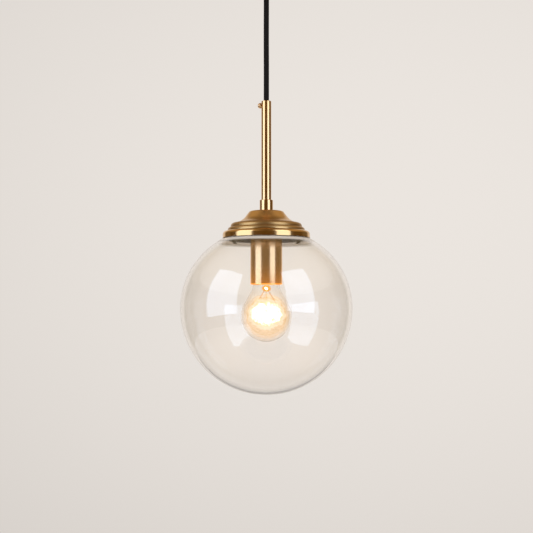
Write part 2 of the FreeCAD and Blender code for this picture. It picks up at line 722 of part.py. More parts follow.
def spun_cap():
    """Stepped brass cap: flat top, flaring cone, two rolled ridges and a rim band, all one spun sheet."""
    cone_angle = "atan((flare_start_radius - cap_edge_radius) / (flare_start_depth - cap_edge_depth))"
    side, down = f"cap_wall * cos({cone_angle})", f"cap_wall * sin({cone_angle})"
    flare_inside = f"flare_start_radius - {side}", f"-(flare_start_depth + {down})"
    flare_round = "ridge_one_start - flare_start_radius + ridge_one_depth - flare_start_depth"
    edge_round = "(cap_edge_radius - cap_top_radius)"

    def roll(name):
        """Where a ridge's rolled shoulder starts and where it ends."""
        return (f"{name}_start", f"-{name}_depth"), (f"{name}_radius", f"-{name}_side")

    one_start, one_side = roll("ridge_one")
    two_start, two_side = roll("ridge_two")
    rim_start, rim_side = roll("rim")

    def inner(corner):
        return f"{corner[0]} - cap_wall", corner[1]

    def under(corner):
        return corner[0], f"{corner[1]} - cap_wall"

    keep(turned("cap", [
        ("cap_top_radius", "0"),
        ("thread_radius", "0"),
        ("thread_radius", "-cap_wall"),
        ("cap_top_radius", "-cap_wall", "right", edge_round),
        (f"cap_edge_radius - {side}", f"-(cap_edge_depth + {down})"),
        (*flare_inside, "left", f"{flare_round} + cap_wall"),
        (*under(one_start), "right", "ridge_one_round - cap_wall"),
        inner(one_side),
        ("ridge_one_radius - cap_wall", "-(ridge_two_depth + cap_wall)"),
        (*under(two_start), "right", "ridge_two_round - cap_wall"),
        inner(two_side),
        ("ridge_two_radius - cap_wall", "-(rim_depth + cap_wall)"),
        (*under(rim_start), "right", "rim_round - cap_wall"),
        inner(rim_side),
        ("rim_radius - cap_wall", "rim_foot"),
        ("rim_radius", "rim_foot"),
        (*rim_side, "left", "rim_round"),
        rim_start,
        ("ridge_two_radius", "-rim_depth"),
        (*two_side, "left", "ridge_two_round"),
        two_start,
        (*one_side, "left", "ridge_one_round"),
        (*one_start, "right", flare_round),
        ("flare_start_radius", "-flare_start_depth"),
        ("cap_edge_radius", "-cap_edge_depth", "left", f"{edge_round} + cap_wall"),
    ], "cap_top"))
    keep(turned("spacer_tube", [
        ("thread_radius", "plate_top"),
        ("spacer_radius", "plate_top"),
        ("spacer_radius", "-cap_wall"),
        ("thread_radius", "-cap_wall"),
    ], "cap_top"))


CLIP_TURNS = (30.0, 150.0, 270.0)


def clip_plate():
    """Three-armed plate on the thread, with a spring clip riveted under each arm."""
    body = new_body("clip_plate")

    def hub(sketch):
        add_circle(sketch, "0", "0", "plate_hub_radius")
        add_circle(sketch, "0", "0", "thread_radius")

    extrude(body, "Pad", "XY_Plane", hub, "plate_thickness", back=True)
    reach = rectangle("plate_hub_radius - plate_arm_root", "-plate_arm_width / 2",
                      "plate_arm_reach", "plate_arm_width / 2")
    arm = extrude(body, "Pad", "XY_Plane", lambda s: add_outline(s, reach), "plate_thickness", back=True)
    hole = pocket(body, "XY_Plane", lambda s: add_circle(s, "rivet_place", "0", "rivet_radius"),
                  "plate_thickness * 3", centred=True)
    polar(body, [arm, hole], len(CLIP_TURNS))
    place(body, z="cap_top + plate_top", turn=CLIP_TURNS[0])
    keep(body)
    rivets = []
    for i, turn in enumerate(CLIP_TURNS, start=1):
        keep(spring_clip(f"spring_clip_{i}", turn))
        rivets.append(rivet(f"clip_rivet_{i}", turn))
    group("clip_rivets", rivets)


def spring_clip(label, turn):
    """A leaf under one arm, bent down through the globe's mouth and hooked out under its lip."""
    body = new_body(label)
    underside = "plate_bottom"
    throat_height = "lip_foot_inside - lip_top - globe_seat - clip_clearance"
    hook_height = f"{throat_height} - clip_hook"
    hook_reach = "lip_bore + clip_hook"
    throat = "lip_bore - clip_clearance - clip_sheet"
    leaf = [
        ("clip_start", f"{underside} - clip_sheet"),
        ("clip_bend", f"{underside} - clip_sheet"),
        (throat, f"{throat_height} - clip_sheet / 2"),
        (f"{hook_reach} - clip_sheet", hook_height),
        (f"{throat} - clip_tail_lean", f"{hook_height} - clip_tail"),
        (f"{throat} - clip_tail_lean + clip_sheet", f"{hook_height} - clip_tail - clip_sheet / 2"),
        (hook_reach, hook_height),
        (f"{throat} + clip_sheet", throat_height),
        ("clip_bend + clip_sheet", underside),
        ("clip_start", underside),
    ]
    extrude(body, "Pad", "XZ_Plane", lambda s: add_outline(s, leaf), "clip_width", centred=True)
    pocket(body, "XY_Plane", lambda s: add_circle(s, "rivet_place", "0", "rivet_radius"),
           "clip_sheet * 4", offset=underside, centred=True)
    return place(body, z="cap_top", turn=turn)


def rivet(label, turn):
    """Steel rivet through one arm and its clip."""
    head, foot = "plate_top + rivet_head", "plate_bottom - clip_sheet - rivet_head"
    body = turned(label, [
        ("0", foot),
        ("rivet_head_radius", foot),
        ("rivet_head_radius", "plate_bottom - clip_sheet"),
        ("rivet_radius", "plate_bottom - clip_sheet"),
        ("rivet_radius", "plate_top"),
        ("rivet_head_radius", "plate_top"),
        ("rivet_head_radius", head),
        ("0", head),
    ])
    return place(body, f"rivet_place * cos({turn})", f"rivet_place * sin({turn})", "cap_top", turn=turn)


def globe():
    """Clear glass globe, a little flatter above its widest ring, with a short lip, and the cap's gasket."""
    inner_radius = "globe_radius - globe_wall"
    keep(turned("globe", [
        ("0", "-globe_radius", "left", "globe_radius"),
        ("globe_radius", "0", "left", "shoulder_radius"),
        ("lip_radius", "lip_foot"),
        ("lip_radius", "lip_top"),
        ("lip_bore", "lip_top"),
        ("lip_bore", "lip_foot_inside", "right", "shoulder_radius - globe_wall"),
        (inner_radius, "0", "right", inner_radius),
        ("0", f"-({inner_radius})"),
    ], "globe_centre"))
    keep(turned("rim_gasket", [
        ("lip_bore - gasket_overlap / 4", "-(rim_depth + cap_wall + gasket_thickness)"),
        ("lip_radius + gasket_overlap", "-(rim_depth + cap_wall + gasket_thickness)"),
        ("lip_radius + gasket_overlap", "-(rim_depth + cap_wall)"),
        ("lip_bore - gasket_overlap / 4", "-(rim_depth + cap_wall)"),
    ], "cap_top"))


# --- lampholder -------------------------------------------------------------------------------------------


def lampholder():
    """Brass cup clamped on the thread, and the E27 lampholder inside it."""
    keep(turned("holder_cup", [
        ("thread_radius", "-cup_wall"),
        ("cup_radius - cup_round", "-cup_wall", "right", "cup_round - cup_wall"),
        ("cup_bore", "-cup_round"),
        ("cup_bore", "-cup_length"),
        ("cup_radius", "-cup_length"),
        ("cup_radius", "-cup_round", "left", "cup_round"),
        ("cup_radius - cup_round", "0"),
        ("thread_radius", "0"),
    ], "cup_top"))
    keep(turned("holder_washer", [
        ("thread_radius", "nut_top"),
        ("washer_radius", "nut_top"),
        ("washer_radius", "washer_top"),
        ("thread_radius", "washer_top"),
    ], "cup_top"))
    hex_nut("holder_nut", "cup_top + nut_top")
    keep(turned("holder_cap", [
        ("thread_radius", "thread_end"),
        ("skirt_bore", "cone_foot - holder_wall"),
        ("skirt_bore", "skirt_foot"),
        ("holder_radius", "skirt_foot"),
        ("holder_radius", "cone_foot"),
        ("holder_boss_radius", "boss_foot"),
        ("holder_boss_radius", "holder_top"),
        ("thread_radius", "holder_top"),
    ], "cup_top"))
    keep(turned("holder_disc", [
        ("0", "disc_bottom"),
        ("skirt_bore", "disc_bottom"),
        ("skirt_bore", "disc_top"),
        ("0", "disc_top"),
    ], "cup_top"))
    keep(turned("screw_shell", [
        ("shell_bore", "disc_bottom - shell_height"),
        ("shell_bore + shell_wall", "disc_bottom - shell_height"),
        ("shell_bore + shell_wall", "disc_bottom"),
        ("shell_bore", "disc_bottom"),
    ], "cup_top"))
    sleeve_bore = "shell_bore + shell_wall + holder_gap"
    keep(turned("holder_sleeve", [
        (sleeve_bore, "skirt_foot - shroud_step"),
        ("shroud_mouth", "skirt_foot - shroud_step"),
        ("shroud_mouth", "skirt_foot - shroud_length"),
        ("holder_radius", "skirt_foot - shroud_length"),
        ("holder_radius", "skirt_foot"),
        (sleeve_bore, "skirt_foot"),
    ], "cup_top"))
    contact = new_body("centre_contact")
    leaf = [
        ("-contact_width", "disc_bottom - contact_sheet"),
        ("-contact_width / 2", "disc_bottom - contact_sheet"),
        ("0", "contact_foot"),
        ("contact_width / 2", "contact_foot"),
        ("contact_width / 2", "contact_foot + contact_sheet"),
        ("contact_sheet / 2", "contact_foot + contact_sheet"),
        ("contact_sheet / 2 - contact_width / 2", "disc_bottom"),
        ("-contact_width", "disc_bottom"),
    ]
    extrude(contact, "Pad", "XZ_Plane", lambda s: add_outline(s, leaf), "contact_width", centred=True)
    keep(place(contact, z="cup_top"))
    holder_terminals()


def holder_terminals():
    """Two brass terminals on the disc, their screws, and the cores that end in them."""
    terminals, screws, cores = [], [], []
    for i, side in enumerate((-1, 1), start=1):
        middle = f"{side} * terminal_place"
        block = new_body(f"holder_terminal_{i}")
        section = rectangle(f"{middle} - terminal_width / 2", "-terminal_width / 2",
                            f"{middle} + terminal_width / 2", "terminal_width / 2")
        extrude(block, "Pad", "XY_Plane", lambda s: add_outline(s, section), "terminal_height")
        terminals.append(place(block, z="cup_top + disc_top"))
        screw = turned(f"holder_screw_{i}", [
            ("0", "0"),
            ("terminal_screw_radius", "0"),
            ("terminal_screw_radius", "terminal_width / 2"),
            ("0", "terminal_width / 2"),
        ])
        screws.append(place(screw, middle, "-terminal_width / 2", "cup_top + disc_top + terminal_height / 2",
                            V(1, 0, 0), 90.0))
        cores.append(wire_shape([
            point(f"{side} * core_place", "0", "thread_end + core_run"),
            point(f"{side} * core_place", "0", "thread_end - core_run"),
            point(f"{side} * (terminal_place - terminal_width)", "0", "disc_top + terminal_height / 2"),
            point(f"{side} * (terminal_place - terminal_width / 2)", "0", "disc_top + terminal_height / 2"),
        ], number("core_radius"), number("core_radius * 2")))
    group("holder_terminals", terminals)
    group("holder_screws", screws)
    wires("lamp_cores", cores, "cup_top")


# --- bulb -------------------------------------------------------------------------------------------------


def bulb_envelope():
    """Clear glass: a ball, a cone drawn in towards the neck, and the neck inside the cap."""
    cone, neck = "bulb_tangent", "bulb_neck_slope"
    waist = "bulb_waist_radius", "bulb_waist_height"
    top = "bulb_neck_radius", "bulb_neck_height"
    rim_height = "cap_rim - bulb_centre"

    def inside(corner, angle):
        return f"{corner[0]} - bulb_glass * cos({angle})", f"{corner[1]} - bulb_glass * sin({angle})"

    keep(turned("bulb_envelope", [
        ("0", "-bulb_radius", "left", "bulb_radius"),
        ("bulb_radius", "0", "left", "bulb_radius"),
        ("cone_start_radius", "cone_start_height"),
        (*waist, "right", "bulb_waist_round"),
        top,
        ("bulb_seal_radius + bulb_seal_step", f"{rim_height} - bulb_seal_step"),
        ("bulb_seal_radius", rim_height),
        ("bulb_seal_radius", f"{rim_height} + bulb_seal_length"),
        ("bulb_seal_radius - bulb_glass", f"{rim_height} + bulb_seal_length"),
        ("bulb_seal_radius - bulb_glass", f"{rim_height} - bulb_seal_step"),
        (*inside(top, neck), "left", "bulb_waist_round + bulb_glass"),
        inside(waist, cone),
        ("bulb_bore * cos(bulb_tangent)", "bulb_bore * sin(bulb_tangent)", "right", "bulb_bore"),
        ("bulb_bore", "0", "right", "bulb_bore"),
        ("0", "-bulb_bore"),
    ], "bulb_tip + bulb_centre"))


def bulb_cap():
    """E27 cap with rolled thread rings, its black glass insulator and the centre contact."""
    top = "-(button_height + insulator_height - cap_lap)"
    foot = f"{top} - cap_cone - thread_pitch * thread_turns"
    bore = "bulb_seal_radius - bulb_glass - bulb_cap_wall"
    seam = "cap_rim + bulb_seal_length + cap_seam"
    outline = [
        ("bulb_seal_radius", "cap_rim"),
        ("cap_skirt_radius", "cap_rim"),
        ("cap_skirt_radius", f"{foot} - cap_skirt_chamfer"),
        ("thread_root", foot),
    ]
    swell = ("left", "thread_pitch / 3")
    for ring in range(int(number("thread_turns"))):
        base = f"{foot} + thread_pitch * {ring}"
        outline.append(("thread_root + thread_rest", f"{base} + thread_pitch * thread_rest", *swell))
        outline.append(("thread_crest", f"{base} + thread_pitch / 2", *swell))
        outline.append(("thread_root + thread_rest", f"{base} + thread_pitch * (1 - thread_rest)"))
        outline.append(("thread_root", f"{base} + thread_pitch"))
    outline.append(("insulator_radius", top))
    outline.append(("insulator_radius - bulb_cap_wall", f"{top} - cap_cone / 4"))
    outline.append((bore, f"{top} - cap_cone"))
    outline.append((bore, seam))
    outline.append(("bulb_seal_radius", seam))
    keep(turned("bulb_cap", outline, "bulb_tip"))
    keep(turned("bulb_insulator", [
        ("0", f"{top} - bulb_cap_wall"),
        ("insulator_radius - bulb_cap_wall - thread_rest", f"{top} - bulb_cap_wall"),
        ("insulator_radius", top),
        ("insulator_radius - cap_lap", f"{top} + cap_lap"),
        ("button_radius", "-button_height"),
        ("0", "-button_height"),
    ], "bulb_tip"))
    keep(turned("bulb_contact", [
        ("0", "-button_height"),
        ("button_radius", "-button_height"),
        ("button_radius", "-button_height / 2"),
        ("button_face", "0"),
        ("0", "0"),
    ], "bulb_tip"))


def bulb_mount():
    """Glass flare and press, lead-in wires, filament and its supports."""
    flare_top = "cap_rim - bulb_centre + bulb_seal_length"
    mouth = "bulb_seal_radius - bulb_glass - flare_fit"
    keep(turned("bulb_stem", [
        ("0", "rod_foot_height", "left", "mount_bead"),
        ("mount_bead", "rod_foot_height + mount_bead"),
        ("mount_rod", "rod_foot_height + mount_bead * 2"),
        ("mount_rod", "press_height - press_radius"),
        ("press_radius", "press_height"),
        ("flare_radius", "press_height + press_radius"),
        ("flare_radius", f"{flare_top} - flare_height"),
        (mouth, flare_top),
        (f"{mouth} - flare_wall", flare_top),
        ("flare_radius - flare_wall", f"{flare_top} - flare_height"),
        ("flare_radius - flare_wall", "press_height + press_radius"),
        ("0", "press_height + press_radius"),
    ], "bulb_tip + bulb_centre"))
    leads, supports = [], []
    for side in (-1, 1):
        leads.append(wire_shape([
            point(f"{side} * lead_start", "0", "press_height - lead_start"),
            point(f"{side} * lead_bend", "0", "filament_height + lead_bend_height"),
            point(f"{side} * lead_spread", "0", "filament_height + filament_radius"),
        ], number("lead_radius"), number("wire_bend")))
    wires("lead_wires", leads, "bulb_tip + bulb_centre")
    ends = number("lead_spread")
    sag = number("filament_sag")
    bend = (ends ** 2 + sag ** 2) / (2 * sag)
    coil_height = number("filament_height")
    foot_share = number("support_foot_share")
    bend_share = number("support_bend_share")
    for place_x in (-ends / 2, 0.0, ends / 2):
        drop = coil_height - sag + bend - math.sqrt(bend ** 2 - place_x ** 2)
        supports.append(wire_shape([
            V(place_x * foot_share, 0, number("rod_foot_height + mount_rod")),
            V(place_x * bend_share, 0, (number("rod_foot_height") + coil_height) / 2),
            V(place_x, 0, drop + number("filament_radius")),
        ], number("support_radius"), number("wire_bend")) if place_x else Part.makeCylinder(
            number("support_radius"), number("rod_foot_height") - drop - number("filament_radius"),
            V(0, 0, drop + number("filament_radius"))))
    wires("filament_supports", supports, "bulb_tip + bulb_centre")
    arc = Part.Arc(V(-ends, 0, coil_height), V(0, 0, coil_height - sag), V(ends, 0, coil_height)).toShape()
    path = Part.Wire([arc])
    section = Part.Wire([Part.Circle(arc.valueAt(arc.FirstParameter), arc.tangentAt(arc.FirstParameter),
                                     number("filament_radius")).toShape()])
    wires("filament", [path.makePipeShell([section], True, False)], "bulb_tip + bulb_centre")


# --- the whole light --------------------------------------------------------------------------------------

for make in (ceiling_bracket, cord_clamp, terminal_block, mains_cores, canopy, cable, stem, spun_cap,
             clip_plate, globe, lampholder, bulb_envelope, bulb_cap, bulb_mount):
    make()

doc.recompute()
failed = [f"{o.Name}: {o.State}" for o in doc.Objects if set(o.State) & {"Invalid", "Error"}]
failed += [n.Label + ": null or not valid" for n in nodes if n.Shape.isNull() or not n.Shape.isValid()]
if failed:
    raise SystemExit("\n".join(failed))

os.makedirs("parts", exist_ok=True)
for piece in nodes:
    piece.Shape.exportStep(f"parts/{piece.Label}.step")
    box = piece.Shape.BoundBox
    print(f"{piece.Label:20} {box.XLength:7.2f} {box.YLength:7.2f} {box.ZLength:7.2f}  z {box.ZMin:8.2f}"
          f" to {box.ZMax:8.2f}  {len(piece.Shape.Solids)} solid(s) {piece.Shape.Volume:10.1f}")
print("cable: one straight run, no bends; radius", number("cable_radius"))
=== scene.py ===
import json
import math

import bmesh
import bpy
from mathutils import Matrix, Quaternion, Vector, noise

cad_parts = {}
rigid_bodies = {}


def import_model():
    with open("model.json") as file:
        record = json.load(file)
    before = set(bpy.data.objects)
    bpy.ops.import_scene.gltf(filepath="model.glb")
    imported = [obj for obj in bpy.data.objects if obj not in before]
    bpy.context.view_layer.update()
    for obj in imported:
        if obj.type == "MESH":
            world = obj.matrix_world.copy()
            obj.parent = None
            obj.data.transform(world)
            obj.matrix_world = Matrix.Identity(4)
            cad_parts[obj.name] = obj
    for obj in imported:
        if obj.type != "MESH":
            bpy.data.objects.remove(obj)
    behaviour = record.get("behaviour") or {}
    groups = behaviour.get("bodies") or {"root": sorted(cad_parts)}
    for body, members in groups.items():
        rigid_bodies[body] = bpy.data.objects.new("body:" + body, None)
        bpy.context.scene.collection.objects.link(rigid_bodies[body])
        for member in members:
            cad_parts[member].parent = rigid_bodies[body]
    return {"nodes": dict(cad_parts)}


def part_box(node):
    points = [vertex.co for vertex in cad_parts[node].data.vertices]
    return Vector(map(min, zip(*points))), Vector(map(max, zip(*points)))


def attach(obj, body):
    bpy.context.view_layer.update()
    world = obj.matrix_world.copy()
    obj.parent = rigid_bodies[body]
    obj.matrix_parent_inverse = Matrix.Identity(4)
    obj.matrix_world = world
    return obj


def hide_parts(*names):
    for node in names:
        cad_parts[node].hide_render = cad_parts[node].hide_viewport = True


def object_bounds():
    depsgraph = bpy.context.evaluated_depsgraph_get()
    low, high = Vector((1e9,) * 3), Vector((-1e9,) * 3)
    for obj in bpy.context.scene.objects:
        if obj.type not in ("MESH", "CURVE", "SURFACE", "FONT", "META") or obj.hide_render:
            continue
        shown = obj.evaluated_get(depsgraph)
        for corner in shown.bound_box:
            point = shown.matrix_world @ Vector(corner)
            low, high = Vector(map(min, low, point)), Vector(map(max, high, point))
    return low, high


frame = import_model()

# A pendant light: textile cable, turned brass stem and cap, clear glass globe and a lit clear bulb.
# Metres, in the frame of the fitting. +Z is up, the origin is on the ceiling.

cad_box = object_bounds()
MM = 0.001
FULL_TURN = 2 * math.pi
scene = bpy.context.scene


def top_of(node):
    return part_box(node)[1][2]


def foot_of(node):
    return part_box(node)[0][2]


def radius_of(node):
    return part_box(node)[1][1]


GLOBE_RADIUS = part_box("globe")[1][0]
GLOBE_CENTRE = foot_of("globe") + GLOBE_RADIUS
STEM_MOUTH = top_of("stem_tube")
CAP_TOP = top_of("cap")

# --- camera -----------------------------------------------------------------------------------------------

CAMERA_DISTANCE = 1.06
CAMERA_ASIDE = 0.0002
CAMERA_HEIGHT = GLOBE_CENTRE + 0.005
AIM_HEIGHT = GLOBE_CENTRE + 0.0487
VIEW_WIDTH = 0.622          # what the frame shows at the lamp's axis
SENSOR = 36.0
NEAREST_SEEN = 0.01


def add_camera():
    data = bpy.data.cameras.new("camera")
    data.sensor_width = SENSOR
    camera = bpy.data.objects.new("camera", data)
    scene.collection.objects.link(camera)
    camera.location = (CAMERA_ASIDE, -CAMERA_DISTANCE, CAMERA_HEIGHT)
    sight = Vector((CAMERA_ASIDE, 0.0, AIM_HEIGHT)) - camera.location
    camera.rotation_euler = sight.to_track_quat("-Z", "Y").to_euler()
    data.lens = SENSOR * sight.length / VIEW_WIDTH
    data.clip_start = NEAREST_SEEN
    scene.camera = camera


add_camera()

# --- shader maths -----------------------------------------------------------------------------------------


class Socket:
    """An output socket whose arithmetic adds Math nodes."""

    def __init__(self, build, socket):
        self.build = build
        self.socket = socket

    def __add__(self, other):
        return self.build.math("ADD", self, other)

    __radd__ = __add__

    def __sub__(self, other):
        return self.build.math("SUBTRACT", self, other)

    def __rsub__(self, other):
        return self.build.math("SUBTRACT", other, self)

    def __mul__(self, other):
        return self.build.math("MULTIPLY", self, other)

    __rmul__ = __mul__

    def __truediv__(self, other):
        return self.build.math("DIVIDE", self, other)

    def __pow__(self, other):
        return self.build.math("POWER", self, other)


class Build:
    """Adds nodes to a material's or a world's tree."""

    def __init__(self, tree):
        self.tree = tree
        tree.nodes.clear()

    def node(self, kind, settings=None, **sockets):
        """A node of a type, its settings first, then the values or links of its named sockets."""
        made = self.tree.nodes.new(kind)
        for name, value in (settings or {}).items():
            setattr(made, name, value)
        for name, value in sockets.items():
            target = made.inputs[int(name[1:])] if name[0] == "_" else made.inputs[name.replace("_", " ")]
            if isinstance(value, Socket):
                self.tree.links.new(value.socket, target)
            else:
                target.default_value = value
        return made

    def out(self, kind, output, settings=None, **sockets):
        return Socket(self, self.node(kind, settings, **sockets).outputs[output])

    def math(self, operation, a, b=0.0, clamp=False):
        return self.out("ShaderNodeMath", 0, {"operation": operation, "use_clamp": clamp}, _0=a, _1=b)

    def clamp(self, value):
        return self.math("ADD", value, 0.0, clamp=True)

    def ramp(self, value, start, slope):
        """0 up to the start, from there up to 1 at that slope."""
        return self.clamp((value - start) * slope)

    def place(self):
        """The piece's own coordinates."""
        return self.out("ShaderNodeTexCoord", "Object")

    def axes(self, vector):
        """A vector's three numbers."""
        split = self.node("ShaderNodeSeparateXYZ", None, _0=vector)
        return [Socket(self, split.outputs[i]) for i in range(3)]

    def noise(self, vector, scale, detail=2.0, roughness=0.5):
        return self.out("ShaderNodeTexNoise", 0, None, Vector=vector, Scale=scale, Detail=detail,
                        Roughness=roughness)

    def stripes(self, along, detail, roughness):
        """Noise that changes along one number only."""
        return self.out("ShaderNodeTexNoise", 0, {"noise_dimensions": "1D"}, W=along, Scale=1.0,
                        Detail=detail, Roughness=roughness)

    def mix(self, factor, a, b):
        """A colour between two colours."""
        return self.out("ShaderNodeMix", 2, {"data_type": "RGBA", "clamp_factor": True},
                        _0=factor, _6=a, _7=b)

    def bump(self, height, strength, distance):
        return self.out("ShaderNodeBump", 0, None, Height=height, Strength=strength, Distance=distance)


def colour(red, green, blue):
    """A colour given as it looks, 0 to 255, in the linear values that nodes want."""
    def linear(c):
        c /= 255.0
        return c / 12.92 if c <= 0.04045 else ((c + 0.055) / 1.055) ** 2.4
    return (linear(red), linear(green), linear(blue), 1.0)


def darker(tint, share):
    return tuple(c * share for c in tint[:3]) + (1.0,)


def new_material(name):
    material = bpy.data.materials.new(name)
    material.use_nodes = True
    return material, Build(material.node_tree)


def finish_material(build, shader):
    build.node("ShaderNodeOutputMaterial", None, Surface=shader)


# --- materials --------------------------------------------------------------------------------------------

WHITE = (1.0, 1.0, 1.0, 1.0)
BLACK = (0.0, 0.0, 0.0, 1.0)
TURNING_MARKS = 2600.0      # in a metre
CRISP = 1500.0              # how fast one finish gives way to the next, per metre
RIDGE_BAND_SHARE = 0.72               # share of its brightness that metal keeps on the darker band over the ridges


def turned_metal(name, base, shade, polish, satin, satin_above=None, dull_below=None, unlit=None,
                 lit_edge=None):
    """Lacquered metal turned about its Z axis: fine rings, scattered duller scratches and a little tarnish.

    Above satin_above it is matt, and up to dull_below duller and darker still.
    Where the piece's own attribute "inside" is 1 it is rougher and painted dark, as painted shade.
    At its lower edge, at the height lit_edge, it has a painted glow for the bulb's light on it, and less
    further up.
    """
    material, build = new_material(name)
    where = build.place()
    x, y, z = build.axes(where)
    radius = (x * x + y * y) ** 0.5
    rings = build.stripes((z + radius * 0.7) * TURNING_MARKS, 3.0, 0.6)
    cloud = build.noise(where, 55.0, 3.0, 0.55)
    fine = build.noise(where, 5200.0, 2.0, 0.6)
    scratch = build.clamp((fine * 0.6 + rings * 0.4 - 0.56) * 7.0) * 0.7
    tint = build.mix(build.clamp(cloud * 0.9 + rings * 0.2 - 0.1), shade, base)
    rough = polish + cloud * 0.04 + scratch * (satin - polish)
    if satin_above is not None:
        matt = build.ramp(z, satin_above, CRISP)
        rough = rough + matt * (satin - polish * 0.9) * (1.0 - scratch)
        # Between satin_above and dull_below, over the ridges, it is rougher and darker.
        ridge_band = matt * build.clamp((dull_below - z) * CRISP)
        rough = rough + ridge_band * 0.10
        tint = build.mix(ridge_band, tint, darker(shade, RIDGE_BAND_SHARE))
    # Painted shade: where the attribute "inside" is 1, the dark colour unlit is painted in.
    if unlit:
        inside = build.out("ShaderNodeAttribute", "Fac", {"attribute_name": "inside"})
        tint = build.mix(inside, tint, unlit)
        rough = rough + inside * 0.35
    shine = {}
    if lit_edge is not None:
        # Painted light: an orange glow for the bulb's light on the lower edge, brightest at the lip.
        fading, lip_height, lip_edge = 32.0, 0.0013, 2500.0
        near = build.clamp(1.0 - (z - lit_edge) * fading)
        lip = build.clamp((lit_edge + lip_height - z) * lip_edge)
        glow = build.mix(near * near, (0.060, 0.030, 0.006, 1.0), (0.38, 0.112, 0.004, 1.0))
        shine = {"Emission_Color": build.mix(lip, glow, (0.95, 0.30, 0.015, 1.0)), "Emission_Strength": 1.0}
    shader = build.out("ShaderNodeBsdfPrincipled", 0, None, Base_Color=tint, Metallic=1.0,
                       Roughness=build.clamp(rough), Normal=build.bump(rings + fine * 0.3, 0.15, 0.000003),
                       **shine)
    finish_material(build, shader)
    return material


def plated_steel(name, base, roughness):
    """Zinc-plated or spring steel: rolled sheet with a fine spangle."""
    material, build = new_material(name)
    where = build.place()
    spangle = build.out("ShaderNodeTexVoronoi", "Distance", None, Vector=where, Scale=420.0)
    cloud = build.noise(where, 120.0, 3.0)
    tint = build.mix(build.clamp(cloud * 0.7 + spangle * 0.5), darker(base, 0.72), base)
    shader = build.out("ShaderNodeBsdfPrincipled", 0, None, Base_Color=tint, Metallic=1.0,
                       Roughness=roughness + cloud * 0.12,
                       Normal=build.bump(spangle, 0.15, 0.00002))
    finish_material(build, shader)
    return material


def moulded(name, base, roughness, coat=0.0):
    """Moulded plastic, resin or rubber with a fine skin."""
    material, build = new_material(name)
    where = build.place()
    skin = build.noise(where, 1400.0)
    tint = build.mix(build.noise(where, 90.0), darker(base, 0.8), base)
    shader = build.out("ShaderNodeBsdfPrincipled", 0, None, Base_Color=tint,
                       Roughness=roughness + skin * 0.1, Coat_Weight=coat,
                       Normal=build.bump(skin, 0.2, 0.00003))
    finish_material(build, shader)
    return material


def clear_glass(name, tint, ior):
    """Smooth clear glass that lets the light for shadows through."""
    material, build = new_material(name)
    drawn = build.noise(build.place(), 9.0, 1.0)
    glass = build.out("ShaderNodeBsdfPrincipled", 0, None, Base_Color=build.mix(drawn, tint, WHITE),
                      Roughness=0.0, IOR=ior, Transmission_Weight=1.0)
    clear = build.out("ShaderNodeBsdfTransparent", 0, None, Color=(0.97, 0.97, 0.97, 1.0))
    shadow = build.out("ShaderNodeLightPath", "Is Shadow Ray")
    return material, build, build.out("ShaderNodeMixShader", 0, None, Fac=shadow, _1=glass, _2=clear)


def glass_with_painted_ring(name, tint, ior, low, high, painted_light_share):
    """Clear glass with a pale diffuse ring, between those heights, that thins out downwards: a painted
    reflection, lit by the lamps, for the reflection seen just under the cap's rim.
    """
    material, build, shader = clear_glass(name, tint, ior)
    where = build.place()
    height = build.axes(where)[2]
    grain = build.noise(where, 900.0)
    # Painted reflection: the pale ring stands in for the reflection under the cap's rim.
    painted_ring = build.out("ShaderNodeBsdfPrincipled", 0, None, Roughness=0.6 + grain * 0.2,
                       Base_Color=build.mix(grain, (0.72, 0.61, 0.49, 1.0), (0.88, 0.76, 0.62, 1.0)))
    thinning, ending = 480.0, 1800.0
    part = build.ramp(height, low, thinning) * build.clamp((high - height) * ending) * painted_light_share
    finish_material(build, build.out("ShaderNodeMixShader", 0, None, Fac=part, _1=shader, _2=painted_ring))
    return material


def lit_glass(name, tint, ior, glow, most, middle, near, far):
    """Glass with a painted glow for the filament's light on it, from most near a middle height to none far
    from it.
    """
    material, build, shader = clear_glass(name, tint, ior)
    x, y, z = build.axes(build.place())
    distance = (x * x + y * y + (z - middle) * (z - middle)) ** 0.5
    # Painted glow: emission on the glass near the filament's height.
    painted_light_share = build.clamp((far - distance) / (far - near)) * most
    light = build.out("ShaderNodeEmission", 0, None, Color=glow, Strength=1.0)
    finish_material(build, build.out("ShaderNodeMixShader", 0, None, Fac=painted_light_share, _1=shader, _2=light))
    return material


def woven_sleeve(name, thread, gap):
    """Plaited textile thread, reading the sleeve's own UV map: x round it, y along it in metres."""
    material, build = new_material(name)
    around, along = build.axes(build.out("ShaderNodeUVMap", 0, {"uv_map": "sleeve_uv"}))[:2]
    fuzz = build.noise(build.place(), 3200.0)
    threads, crossings = 24.0, 2200.0
    ply = build.math("SINE", (around * threads + along * crossings) * FULL_TURN)
    counter = build.math("SINE", (around * threads - along * crossings) * FULL_TURN)
    relief = build.clamp(ply * counter * 0.25 + 0.5 + (fuzz - 0.5) * 0.5)
    # Painted shade: the gaps between threads are darker.
    tint = build.mix(relief, gap, thread)
    shader = build.out("ShaderNodeBsdfPrincipled", 0, None, Base_Color=tint, Roughness=0.78 + fuzz * 0.15,
                       Specular_IOR_Level=0.12, Normal=build.bump(relief, 0.5, 0.0001))
    finish_material(build, shader)
    return material


def only_light(build, tint, strength):
    """A surface that shines and reflects nothing."""
    return build.out("ShaderNodeBsdfPrincipled", 0, None, Base_Color=BLACK, Roughness=1.0,
                     Specular_IOR_Level=0.0, Emission_Color=tint, Emission_Strength=strength)


def glowing(name, cool, hot, strength):
    """Hot tungsten, a little uneven; the same glow is also painted light for the glare round it and for its
    light on the wires and the stem.
    """
    material, build = new_material(name)
    heat = build.noise(build.place(), 300.0)
    finish_material(build, only_light(build, build.mix(heat, cool, hot), strength))
    return material


